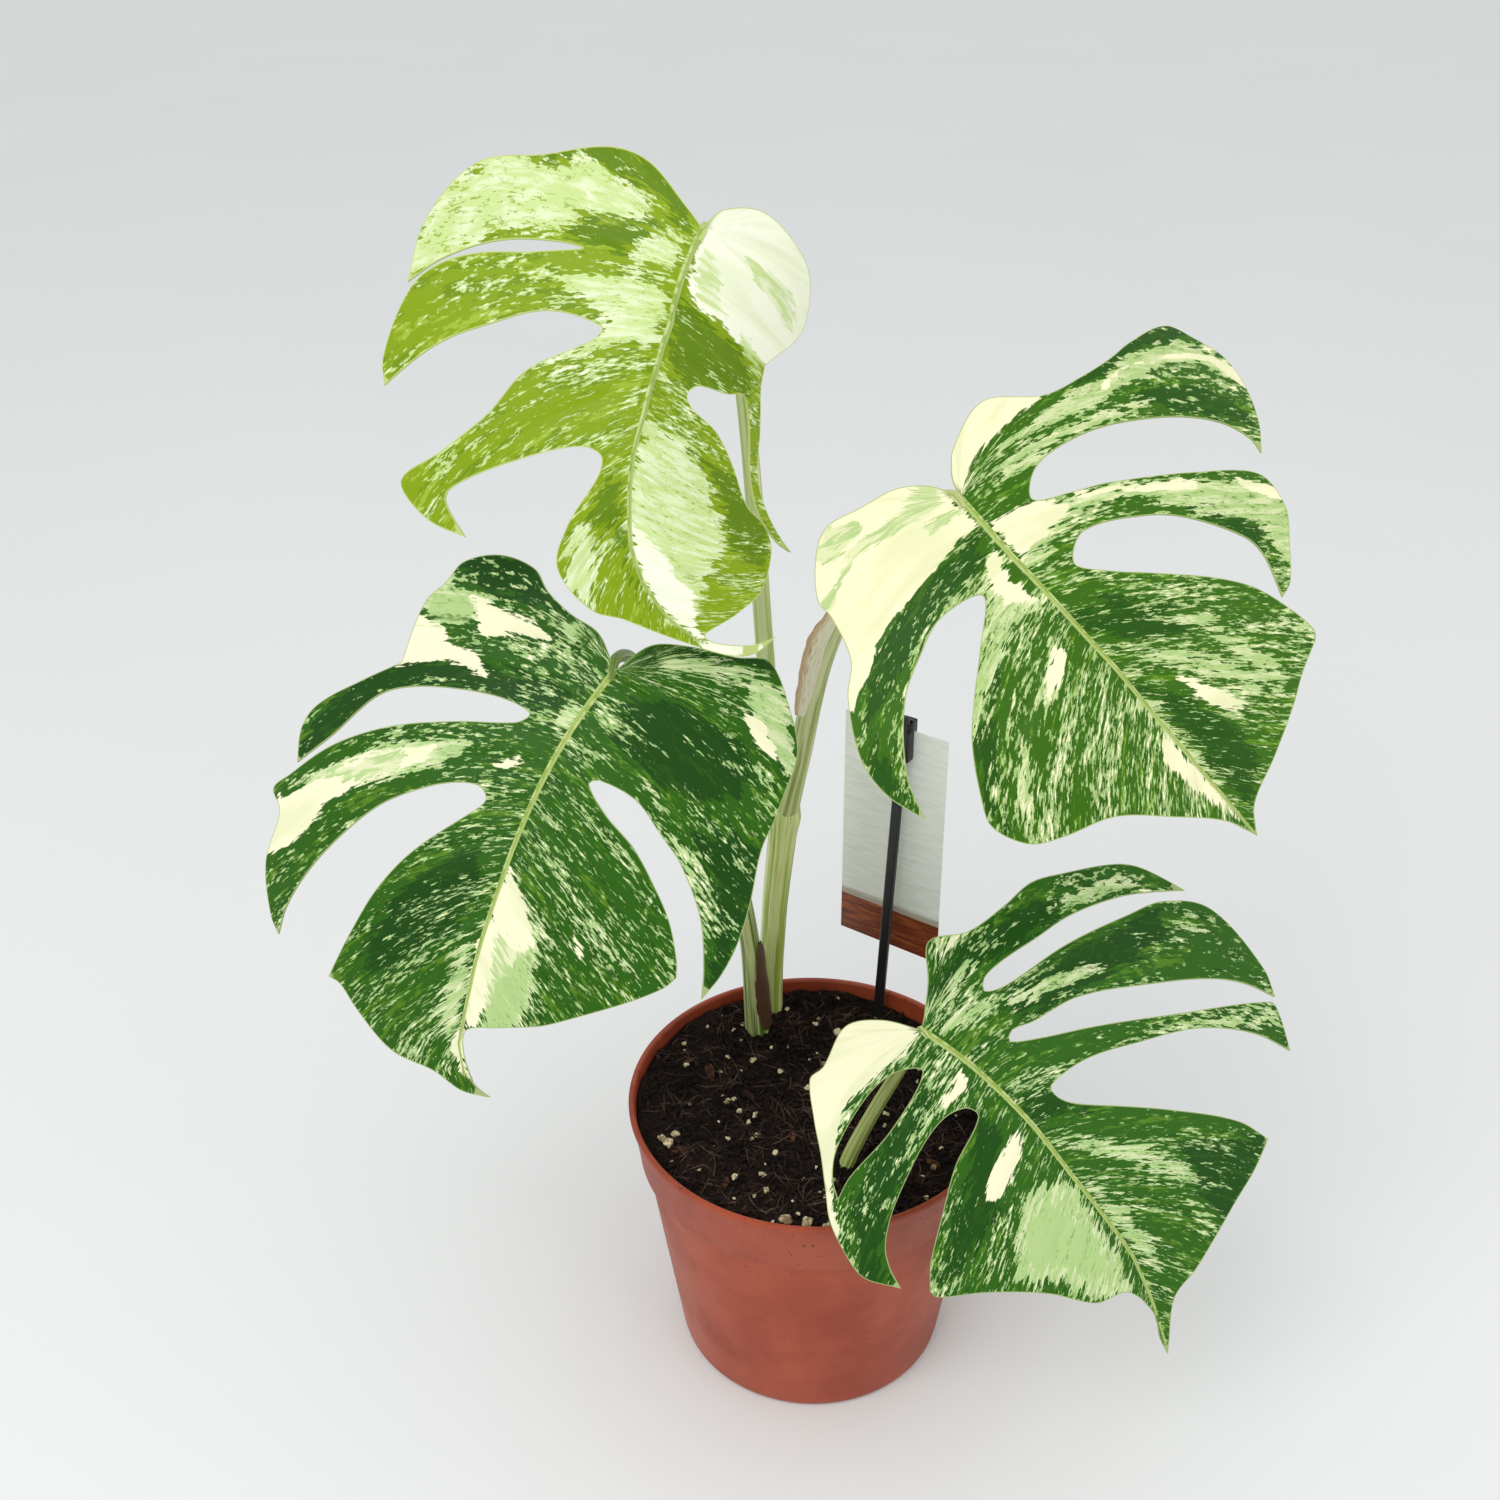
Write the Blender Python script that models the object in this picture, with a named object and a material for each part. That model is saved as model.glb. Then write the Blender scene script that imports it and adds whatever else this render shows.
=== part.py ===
"""A young variegated monstera in a 17 cm nursery pot, with four leaves and a care label on a stake.

All lengths below are millimetres. The origin is the centre of the pot's underside, with +Z up
and -Y towards the front. Leaf outlines are (along the midrib, across) from the leaf's junction.
"""

import math

import bmesh
import bpy
import mathutils
from mathutils import Matrix, Vector

MM = 0.001
GAP = 0.4
TIP = True

# Pot, a turned plastic shell with a wide collar below its rim.
POT_HEIGHT = 138.0
RIM_RADIUS = 85.0
LIP_HEIGHT = 2.6
COLLAR_RADIUS = 83.6
COLLAR_FOOT_RADIUS = 80.6
COLLAR_FOOT_Z = 109.0
BODY_TOP_RADIUS = 78.0
BASE_RADIUS = 63.0
WALL = 1.6
FLOOR_THICKNESS = 2.4
DRAIN_HOLES = 8
DRAIN_RADIUS = 5.0
DRAIN_RING_RADIUS = 46.0

# Soil, filled to a little below the rim.
SOIL_TOP = 130.0
SOIL_SWELL = 1.2
SOIL_SECTORS = 48
SOIL_RINGS = 7

# Leaf blades.
BLADE_THICKNESS = 0.9
BLADE_GRID = 12.0
SPLINE_STEPS = 2

# Stems: paths from the soil upwards, with a radius at each point.
BURIED = 40.0
MAIN_STEM_PATH = [(-15, 64, 98), (-18.5, 69.5, 132), (-16.5, 71.5, 190), (-11.9, 72, 240), (-11, 71.5, 250)]
MAIN_STEM_RADII = [5.6, 5.6, 6.0, 7.2, 5.6]
PETIOLE_LEFT_PATH = [
    (-24, 56, 96), (-25.5, 54, 132), (-29, 50, 190), (-40, 38, 260), (-58, 20, 325), (-74, 4, 362),
]
PETIOLE_LEFT_RADII = [5.6, 5.6, 4.6, 3.6, 3.1, 2.8]
PETIOLE_RIGHT_PATH = [(-10.5, 70.5, 252), (-7, 64.5, 272), (6, 40, 351), (30, 16, 410), (46, 6, 427)]
PETIOLE_RIGHT_RADII = [5.4, 5.0, 4.4, 3.6, 3.0]
PETIOLE_TOP_PATH = [(-17, 72, 272), (-19, 66, 300), (-20.9, 60, 336), (-28.5, 50, 452), (-37, 35, 508)]
PETIOLE_TOP_RADII = [4.2, 4.2, 4.0, 3.4, 2.8]
PETIOLE_LOW_PATH = [(7, -38, 100), (14.3, -35.7, 130), (23.6, -33, 152.3), (33.4, -32, 174), (41, -42, 203)]
PETIOLE_LOW_RADII = [3.4, 3.3, 3.1, 2.9, 2.6]
STEM_SIDES = 3
STEM_STEPS = 5

# Label: a card held by the clip at the top of a stake.
CARD_LOW_LEFT = (17.0, 94.7, 163.0)
CARD_WIDTH = 54.5
CARD_HEIGHT = 124.0
CARD_THICKNESS = 0.5
CARD_TURN = math.radians(-35.0)
STAKE_FOOT = (32.9, 62.9, 100.0)
STAKE_TOP = (42.1, 71.8, 296.0)
STAKE_WIDTH = 5.0
STAKE_DEPTH = 3.0
CLIP_DROP = 20.0

TERRACOTTA = (0.35, 0.09, 0.05)
PEAT = (0.03, 0.018, 0.012)
STEM_GREEN = (0.30, 0.42, 0.10)
LEAF_GREEN = (0.05, 0.16, 0.03)
YOUNG_GREEN = (0.22, 0.40, 0.04)
CREAM = (0.83, 0.78, 0.52)
DRY_BROWN = (0.12, 0.06, 0.03)
BLACK = (0.01, 0.01, 0.01)
CARD_WHITE = (0.70, 0.72, 0.70)

# Each leaf: where the blade meets its stem, the midrib's first direction, the upper face's
# direction, the midrib's length and bends (radians), and each half's fold and curl per mm.
LEAF_TOP = {
    "junction": (-42.8, 20.0, 526.7), "along": (-0.562, -0.460, -0.687), "face": (-0.030, -0.819, 0.573),
    "length": 157.9, "bow": 0.50, "swing": 1.10, "left": (0.04, 0.0032), "right": (0.42, 0.0125),
    "outline": [
    (0, 0, TIP), (-3, -8), (-9, -30), (-7, -46), (4, -68), (13, -92), (29, -102), (44, -101, TIP),
    (37, -89), (29, -69), (24, -47), (23, -36),
    (29, -55), (33, -74), (38, -89), (45, -99), (62, -106), (68, -104, TIP), (57, -82), (50, -62),
    (43, -40), (44, -19),
    (49, -22), (61, -45), (73, -58), (83, -78), (90, -97), (99, -88), (105, -72, TIP), (95, -78),
    (92, -74), (86, -48), (82, -22), (85, -14),
    (92, -16), (107, -31), (118, -38), (133, -31), (140, -20), (157, -3), (176, 13), (180, 27, TIP),
    (173, 16), (158, 4), (159, 20), (158, 35), (144, 50), (129, 51), (116, 45), (94, 41), (76, 33),
    (65, 20), (60, 18),
    (56, 22), (56, 37), (54, 44), (64, 49), (80, 51), (100, 50), (118, 50), (132, 52), (144, 55),
    (155, 60, TIP), (140, 58), (124, 56), (108, 55), (92, 56), (76, 58), (62, 57), (48, 54), (34, 52, TIP),
    (9, 64), (-6, 63), (-21, 50), (-25, 39), (-22, 15), (-10, 2),
    ],
    "holes": [],
}
LEAF_LEFT = {
    "junction": (-79.1, -20.0, 369.9), "along": (-0.589, -0.505, -0.631), "face": (-0.092, -0.734, 0.673),
    "length": 174.7, "bow": 0.50, "swing": 0.45, "left": (-0.02, 0.0040), "right": (0.05, 0.0050),
    "outline": [
    (0, 0, TIP), (-8, -14), (-8, -28), (-10, -42), (-14, -53), (-11, -70), (-2, -82), (7, -83),
    (16, -86), (38, -80, TIP), (50, -94), (65, -111), (74, -114), (85, -109, TIP), (71, -96), (52, -83),
    (44, -71), (36, -50), (31, -31), (31, -19),
    (36, -22), (46, -44), (59, -71), (74, -94), (90, -111), (97, -118), (103, -110), (121, -111),
    (138, -102), (143, -96, TIP), (133, -94), (119, -87), (103, -76), (86, -62), (76, -50), (67, -36),
    (63, -24), (66, -19),
    (71, -21), (96, -41), (113, -51), (130, -58), (150, -66, TIP), (151, -60), (158, -51), (170, -33),
    (174, -14), (180, -2), (181, 10, TIP), (176, 3), (155, -2), (150, 12), (146, 27), (141, 37),
    (128, 58), (117, 71), (110, 75, TIP), (101, 73), (85, 66), (73, 57), (59, 42), (51, 26), (43, 15),
    (40, 18),
    (40, 34), (48, 48), (57, 61), (77, 76), (101, 84), (119, 87, TIP), (103, 92), (83, 94), (59, 92),
    (31, 86), (13, 84), (-12, 79, TIP), (-22, 75), (-33, 64), (-44, 44), (-35, 33), (-25, 16),
    (-16, 5),
    ],
    "holes": [],
}
LEAF_RIGHT = {
    "junction": (51.4, 0.0, 431.7), "along": (0.553, -0.662, -0.507), "face": (-0.050, -0.633, 0.772),
    "length": 169.6, "bow": 0.50, "swing": 0.25, "left": (0.05, 0.0045), "right": (0.0, 0.0038),
    "outline": [
    (0, 0, TIP), (-9, 3), (-19, 11), (-31, 33), (-21, 55), (-22, 74), (-26, 92), (-32, 107), (-38, 132),
    (-25, 141), (-8, 148), (9, 147), (26, 142), (43, 133), (56, 122, TIP), (46, 123), (31, 116),
    (18, 100), (8, 77), (4, 60), (4, 40), (8, 29), (17, 22),
    (23, 36), (28, 51), (46, 87), (64, 112), (85, 111), (100, 98), (112, 85), (114, 77, TIP), (95, 84),
    (83, 83), (61, 69), (49, 55), (39, 30), (47, 18),
    (56, 25), (70, 41), (87, 59), (102, 70), (120, 76), (135, 78), (138, 75, TIP), (142, 61), (148, 47),
    (155, 27), (161, 8), (170, 0, TIP), (157, -5), (142, -18), (127, -34), (120, -53), (114, -64),
    (101, -70), (91, -66), (74, -55), (62, -43), (51, -31), (36, -17),
    (33, -34), (39, -49), (48, -64), (68, -81), (84, -87, TIP), (69, -92), (54, -91), (34, -80),
    (24, -70), (8, -66), (-1, -66), (-16, -55), (-21, -46), (-19, -32), (-17, -17), (-10, -6),
    ],
    "holes": [],
}
LEAF_LOW = {
    "junction": (42.3, -49.7, 216.0), "along": (0.773, -0.426, -0.470), "face": (0.053, -0.695, 0.717),
    "length": 176.5, "bow": 0.50, "swing": -0.40, "left": (0.05, 0.0045), "right": (-0.02, 0.0035),
    "outline": [
    (0, 0, TIP), (-10, 18), (-19, 32), (-9, 46), (-4, 65), (-1, 83), (7, 98), (20, 120), (28, 128),
    (46, 137, TIP), (36, 121), (28, 107), (18, 83), (13, 63), (8, 44), (7, 34), (10, 30),
    (15, 38), (23, 70), (34, 102), (42, 123), (58, 141), (88, 143), (98, 138, TIP), (86, 128),
    (78, 119), (69, 106), (58, 88), (39, 56), (32, 34), (28, 25), (30, 21),
    (38, 31), (49, 49), (72, 87), (96, 131), (100, 135), (116, 127, TIP), (100, 114), (82, 91),
    (68, 63), (57, 39), (54, 20), (59, 19),
    (66, 23), (79, 37), (94, 54), (118, 80), (132, 89, TIP), (137, 74), (141, 58), (146, 43), (152, 27),
    (157, 12), (177, 0, TIP), (169, -1), (157, 1), (142, -5), (138, -19), (122, -34), (105, -55),
    (93, -73), (88, -74, TIP), (76, -66), (61, -49), (49, -32), (41, -11), (35, -12),
    (31, -21), (32, -34), (37, -49), (45, -65), (55, -76), (66, -81), (78, -83, TIP), (62, -92),
    (49, -92), (26, -86), (11, -76), (-2, -66), (-14, -57), (-27, -44), (-25, -37), (-27, -18),
    (-16, -7),
    ],
    "holes": [[
    (11, -13), (17, -40), (17, -66), (20, -76, TIP), (11, -71), (3, -60), (-1, -36), (2, -21),
    ]],
}


def clear_scene():
    for item in list(bpy.data.objects):
        bpy.data.objects.remove(item, do_unlink=True)


def material(name, colour, roughness):
    made = bpy.data.materials.new(name)
    made.use_nodes = True
    shader = made.node_tree.nodes["Principled BSDF"]
    shader.inputs["Base Color"].default_value = (*colour, 1.0)
    shader.inputs["Roughness"].default_value = roughness
    return made


def node_from_mesh(name, mesh, look):
    item = bpy.data.objects.new(name, mesh)
    bpy.context.scene.collection.objects.link(item)
    mesh.materials.append(look)
    return item


def mesh_from_bmesh(name, shape):
    bmesh.ops.recalc_face_normals(shape, faces=shape.faces[:])
    mesh = bpy.data.meshes.new(name)
    shape.to_mesh(mesh)
    shape.free()
    return mesh


def apply_modifiers(item):
    bpy.ops.object.select_all(action="DESELECT")
    item.select_set(True)
    bpy.context.view_layer.objects.active = item
    bpy.ops.object.convert(target="MESH")


def shade_smooth(item, angle=40.0):
    bpy.ops.object.select_all(action="DESELECT")
    item.select_set(True)
    bpy.context.view_layer.objects.active = item
    bpy.ops.object.shade_smooth_by_angle(angle=math.radians(angle))


def cut(item, cutter):
    cutter.hide_render = True
    cutter.display_type = "WIRE"
    boolean = item.modifiers.new("cut_" + cutter.name, "BOOLEAN")
    boolean.operation = "DIFFERENCE"
    boolean.solver = "EXACT"
    boolean.object = cutter


def turned(name, profile, steps, look):
    """A closed body turned about Z from a profile of (radius, height) that starts and ends on the axis."""
    shape = bmesh.new()
    verts = [shape.verts.new((radius * MM, 0.0, height * MM)) for radius, height in profile]
    edges = [shape.edges.new(pair) for pair in zip(verts, verts[1:])]
    bmesh.ops.spin(
        shape, geom=verts + edges, axis=(0, 0, 1), cent=(0, 0, 0), angle=2.0 * math.pi, steps=steps, use_duplicate=False
    )
    bmesh.ops.remove_doubles(shape, verts=shape.verts[:], dist=1e-6)
    return node_from_mesh(name, mesh_from_bmesh(name, shape), look)


def build_pot():
    """The shell: inner floor, inner wall, rim lip, collar, body and flat underside."""
    inner_foot = BASE_RADIUS - WALL
    inner_collar = COLLAR_FOOT_RADIUS - WALL
    lip_z = POT_HEIGHT - LIP_HEIGHT
    profile = [
        (0.0, FLOOR_THICKNESS),
        (inner_foot - 3.0, FLOOR_THICKNESS),
        (inner_foot, FLOOR_THICKNESS + 3.0),
        (BODY_TOP_RADIUS - WALL, COLLAR_FOOT_Z - 1.5),
        (inner_collar, COLLAR_FOOT_Z + 1.5),
        (COLLAR_RADIUS - WALL, lip_z),
        (COLLAR_RADIUS - WALL + 0.3, POT_HEIGHT - 0.6),
        (COLLAR_RADIUS - WALL + 0.9, POT_HEIGHT),
        (RIM_RADIUS - 0.7, POT_HEIGHT),
        (RIM_RADIUS, POT_HEIGHT - 0.7),
        (RIM_RADIUS, lip_z + 0.6),
        (COLLAR_RADIUS, lip_z),
        (COLLAR_FOOT_RADIUS, COLLAR_FOOT_Z + 0.8),
        (COLLAR_FOOT_RADIUS - 0.6, COLLAR_FOOT_Z),
        (BODY_TOP_RADIUS, COLLAR_FOOT_Z - 0.8),
        (BASE_RADIUS + 0.6, 3.0),
        (BASE_RADIUS - 2.0, 0.0),
        (0.0, 0.0),
    ]
    pot = turned("pot", profile, 72, material("terracotta_plastic", TERRACOTTA, 0.45))
    for index in range(DRAIN_HOLES):
        angle = 2.0 * math.pi * (index + 0.4) / DRAIN_HOLES
        place = Vector((math.cos(angle), math.sin(angle), 0.0)) * DRAIN_RING_RADIUS * MM
        bpy.ops.mesh.primitive_cylinder_add(
            vertices=16, radius=DRAIN_RADIUS * MM, depth=4.0 * FLOOR_THICKNESS * MM, location=place,
            rotation=(0.0, 0.0, 0.1),
        )
        drill = bpy.context.active_object
        drill.name = f"drain_cutter_{index}"
        cut(pot, drill)
    shade_smooth(pot)
    return pot


def inner_radius(height):
    """The pot's inner radius at a height in the body or the collar."""
    if height < COLLAR_FOOT_Z - 1.5:
        low, high = (FLOOR_THICKNESS + 3.0, BASE_RADIUS - WALL), (COLLAR_FOOT_Z - 1.5, BODY_TOP_RADIUS - WALL)
    else:
        low = (COLLAR_FOOT_Z + 1.5, COLLAR_FOOT_RADIUS - WALL)
        high = (POT_HEIGHT - LIP_HEIGHT, COLLAR_RADIUS - WALL)
    part = (height - low[0]) / (high[0] - low[0])
    return low[1] + (high[1] - low[1]) * part


def soil_height(x, y):
    """Gentle swells on the top of the soil, in mm."""
    swell = math.sin(x / 17.0 + 0.6) * math.cos(y / 13.0 - 0.4) + 0.5 * math.sin(x / 7.0 - y / 9.0)
    return SOIL_TOP + SOIL_SWELL * swell


def build_soil():
    """Soil filling the pot, with a socket for every stem and for the stake."""
    shape = bmesh.new()
    wall_heights = [FLOOR_THICKNESS + GAP, FLOOR_THICKNESS + 4.0, COLLAR_FOOT_Z - 3.0, COLLAR_FOOT_Z + 3.0]
    rings = []
    for height in wall_heights:
        radius = inner_radius(max(height, FLOOR_THICKNESS + 3.0)) - 2.0 * GAP
        if height == wall_heights[0]:
            radius -= 3.5
        rings.append([(radius, height)] * SOIL_SECTORS)
    top_radius = inner_radius(SOIL_TOP) - 2.0 * GAP
    for ring in range(SOIL_RINGS, 0, -1):
        radius = top_radius * ring / SOIL_RINGS
        circle = []
        for sector in range(SOIL_SECTORS):
            angle = 2.0 * math.pi * sector / SOIL_SECTORS
            circle.append((radius, soil_height(radius * math.cos(angle), radius * math.sin(angle))))
        rings.append(circle)
    verts = []
    for circle in rings:
        row = []
        for sector, (radius, height) in enumerate(circle):
            angle = 2.0 * math.pi * sector / SOIL_SECTORS
            row.append(shape.verts.new((radius * math.cos(angle) * MM, radius * math.sin(angle) * MM, height * MM)))
        verts.append(row)
    for low, high in zip(verts, verts[1:]):
        for sector in range(SOIL_SECTORS):
            after = (sector + 1) % SOIL_SECTORS
            shape.faces.new((low[sector], low[after], high[after], high[sector]))
    shape.faces.new(list(reversed(verts[0])))
    middle = shape.verts.new((0.0, 0.0, soil_height(0.0, 0.0) * MM))
    for sector in range(SOIL_SECTORS):
        shape.faces.new((verts[-1][sector], verts[-1][(sector + 1) % SOIL_SECTORS], middle))
    soil = node_from_mesh("soil", mesh_from_bmesh("soil", shape), material("peat_soil", PEAT, 0.95))
    for name, path, radii in (
        ("main_stem", MAIN_STEM_PATH, MAIN_STEM_RADII),
        ("petiole_left", PETIOLE_LEFT_PATH, PETIOLE_LEFT_RADII),
        ("petiole_low", PETIOLE_LOW_PATH, PETIOLE_LOW_RADII),
    ):
        below = Vector(path[0]) - (Vector(path[1]) - Vector(path[0])).normalized()
        socket = tube("socket_" + name, [tuple(below), *path[:3]], [radii[0], *radii[:3]], None, GAP)
        cut(soil, socket)
    cut(soil, stake_box("socket_stake", GAP, None))
    apply_modifiers(soil)
    shade_smooth(soil, 50.0)
    return soil


def tube(name, path, radii, look, extra=0.0):
    """A round stem through the path's points, swollen by extra."""
    curve = bpy.data.curves.new(name, "CURVE")
    curve.dimensions = "3D"
    curve.bevel_depth = MM
    curve.bevel_resolution = STEM_SIDES
    curve.use_fill_caps = True
    curve.resolution_u = STEM_STEPS
    spline = curve.splines.new("BEZIER")
    spline.bezier_points.add(len(path) - 1)
    for point, place, radius in zip(spline.bezier_points, path, radii):
        point.co = Vector(place) * MM
        point.radius = radius + extra
        point.handle_left_type = "AUTO"
        point.handle_right_type = "AUTO"
    item = bpy.data.objects.new(name, curve)
    bpy.context.scene.collection.objects.link(item)
    if look:
        curve.materials.append(look)
    apply_modifiers(item)
    shape = bmesh.new()
    shape.from_mesh(item.data)
    bmesh.ops.remove_doubles(shape, verts=shape.verts[:], dist=1e-6)
    bmesh.ops.recalc_face_normals(shape, faces=shape.faces[:])
    shape.to_mesh(item.data)
    shape.free()
    return item


def build_stems():
    """The main stem, and the four leaf stems that rise from it or from the soil."""
    green = material("green_stem", STEM_GREEN, 0.45)
    for name, path, radii in (
        ("main_stem", MAIN_STEM_PATH, MAIN_STEM_RADII),
        ("petiole_top", PETIOLE_TOP_PATH, PETIOLE_TOP_RADII),
        ("petiole_left", PETIOLE_LEFT_PATH, PETIOLE_LEFT_RADII),
        ("petiole_right", PETIOLE_RIGHT_PATH, PETIOLE_RIGHT_RADII),
        ("petiole_low", PETIOLE_LOW_PATH, PETIOLE_LOW_RADII),
    ):
        shade_smooth(tube(name, path, radii, green))


def bend_frame(leaf):
    along = Vector(leaf["along"]).normalized()
    face = Vector(leaf["face"])
    face = (face - along * face.dot(along)).normalized()
    return along, face, face.cross(along)


def leaf_point(leaf, u, v):
    """The place of (u along the midrib, v across) on a leaf's upper face, in mm."""
    along, face, side = bend_frame(leaf)
    turn = math.hypot(leaf["bow"], leaf["swing"])
    towards = (side * leaf["swing"] - face * leaf["bow"]) / turn
    rate = turn / leaf["length"]
    angle = rate * u
    rib = Vector(leaf["junction"]) + (along * math.sin(angle) + towards * (1.0 - math.cos(angle))) / rate
    rotation = Matrix.Rotation(angle, 3, along.cross(towards))
    fold, curl = leaf["right"] if v > 0 else leaf["left"]
    reach = abs(v)
    outward = (math.sin(fold + curl * reach) - math.sin(fold)) / curl
    lift = (math.cos(fold + curl * reach) - math.cos(fold)) / curl
    return rib + rotation @ side * math.copysign(outward, v) + rotation @ face * lift


def smooth_outline(points, steps):
    """A smooth closed line through the points, with a corner at each point marked TIP."""
    places = [Vector(point[:2]) for point in points]
    corner = [len(point) > 2 for point in points]
    count = len(points)
    line = []
    for index in range(count):
        before, start = places[index - 1], places[index]
        end, after = places[(index + 1) % count], places[(index + 2) % count]
        span = (end - start).length
        leave = end - start if corner[index] else (end - before) * span / (span + (start - before).length)
        reach = end - start
        if not corner[(index + 1) % count]:
            reach = (after - start) * span / (span + (after - end).length)
        for step in range(steps):
            t = step / steps
            line.append(
                start * (2 * t**3 - 3 * t**2 + 1)
                + leave * (t**3 - 2 * t**2 + t)
                + end * (3 * t**2 - 2 * t**3)
                + reach * (t**3 - t**2)
            )
    return line


def inside(place, line):
    """Whether a flat place lies inside a closed line."""
    odd = False
    for start, end in zip(line, line[1:] + line[:1]):
        if (start.y > place.y) != (end.y > place.y):
            if place.x < (end.x - start.x) * (place.y - start.y) / (end.y - start.y) + start.x:
                odd = not odd
    return odd


def in_blade(place, lines):
    return inside(place, lines[0]) and not any(inside(place, line) for line in lines[1:])


def clear_of_edge(place, lines, distance):
    return all((place - point).length > distance for line in lines for point in line)


def build_leaf(name, leaf, colour):
    """A thin blade: the outline filled with triangles, bent, then thickened to the back."""
    lines = [smooth_outline(points, SPLINE_STEPS) for points in [leaf["outline"], *leaf["holes"]]]
    flat = [point for line in lines for point in line]
    edges = []
    for line in lines:
        first = sum(len(other) for other in lines[: lines.index(line)])
        edges += [(first + index, first + (index + 1) % len(line)) for index in range(len(line))]
    rows = int(260.0 / BLADE_GRID)
    for row in range(-rows, rows + 1):
        for column in range(-rows, rows + 1):
            place = Vector((row * BLADE_GRID * 0.87, (column + 0.5 * (row % 2)) * BLADE_GRID))
            if in_blade(place, lines) and clear_of_edge(place, lines, 0.5 * BLADE_GRID):
                flat.append(place)
    points, _, triangles = mathutils.geometry.delaunay_2d_cdt(flat, edges, [], 0, 1e-4, False)[:3]
    shape = bmesh.new()
    verts = [shape.verts.new(leaf_point(leaf, point.x, point.y) * MM) for point in points]
    for triangle in triangles:
        middle = sum((points[index] for index in triangle), Vector((0.0, 0.0))) / 3.0
        if in_blade(middle, lines):
            shape.faces.new([verts[index] for index in triangle])
    loose = [vert for vert in shape.verts if not vert.link_faces]
    bmesh.ops.delete(shape, geom=loose, context="VERTS")
    shape.normal_update()
    face = bend_frame(leaf)[1]
    if sum((polygon.normal * polygon.calc_area() for polygon in shape.faces), Vector()).dot(face) < 0.0:
        bmesh.ops.reverse_faces(shape, faces=shape.faces[:])
    mesh = bpy.data.meshes.new(name)
    shape.to_mesh(mesh)
    shape.free()
    blade = node_from_mesh(name, mesh, material(name + "_blade", colour, 0.4))
    thicken = blade.modifiers.new("thicken", "SOLIDIFY")
    thicken.thickness = BLADE_THICKNESS * MM
    thicken.offset = -1.0
    shade_smooth(blade)
    return blade


def sheath(name, path, radii, span, reach, colour):
    """A thin scale that hugs a stem: span is its two edge angles, reach its width over the height."""
    look = material(name + "_scale", colour, 0.7)
    shape = bmesh.new()
    rows = 10
    columns = 6
    grid = []
    for row in range(rows + 1):
        part = row / rows
        place = part * (len(path) - 1)
        index = min(int(place), len(path) - 2)
        centre = Vector(path[index]).lerp(Vector(path[index + 1]), place - index)
        radius = radii[index] + (radii[index + 1] - radii[index]) * (place - index)
        width = math.sin(math.pi * (0.12 + 0.86 * part)) ** 0.7
        line = []
        for column in range(columns + 1):
            across = column / columns
            angle = math.radians(span[0] + (span[1] - span[0]) * (0.5 + (across - 0.5) * width))
            away = radius + 2.0 * GAP + reach * width * across**2
            line.append(shape.verts.new((centre + Vector((math.cos(angle), math.sin(angle), 0)) * away) * MM))
        grid.append(line)
    for low, high in zip(grid, grid[1:]):
        for column in range(columns):
            shape.faces.new((low[column], low[column + 1], high[column + 1], high[column]))
    shape.normal_update()
    mesh = bpy.data.meshes.new(name)
    shape.to_mesh(mesh)
    shape.free()
    item = node_from_mesh(name, mesh, look)
    thicken = item.modifiers.new("thicken", "SOLIDIFY")
    thicken.thickness = 0.6 * MM
    thicken.offset = 1.0
    shade_smooth(item)
    return item


def box(name, size, place, look):
    bpy.ops.mesh.primitive_cube_add(size=1.0)
    item = bpy.context.active_object
    item.name = name
    item.data.transform(Matrix.Translation(Vector(place) * MM) @ Matrix.Diagonal((*(Vector(size) * MM), 1.0)))
    if look:
        item.data.materials.append(look)
    return item


def card_place():
    return Matrix.Translation(Vector(CARD_LOW_LEFT) * MM) @ Matrix.Rotation(CARD_TURN, 4, "Z")


def stake_box(name, extra, look):
    """The stake's shaft, whose wide side faces the card, swollen by extra."""
    foot, top = Vector(STAKE_FOOT), Vector(STAKE_TOP)
    lean = (top - foot).normalized()
    across = Vector((math.cos(CARD_TURN), math.sin(CARD_TURN), 0.0))
    back = lean.cross(across)
    across = back.cross(lean)
    size = (STAKE_WIDTH + 2 * extra, STAKE_DEPTH + 2 * extra, (top - foot).length + 2 * extra)
    item = box(name, size, (0.0, 0.0, 0.0), look)
    item.data.transform(Matrix((across, back, lean)).transposed().to_4x4())
    item.data.transform(Matrix.Translation((foot + top) * 0.5 * MM))
    return item


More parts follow.
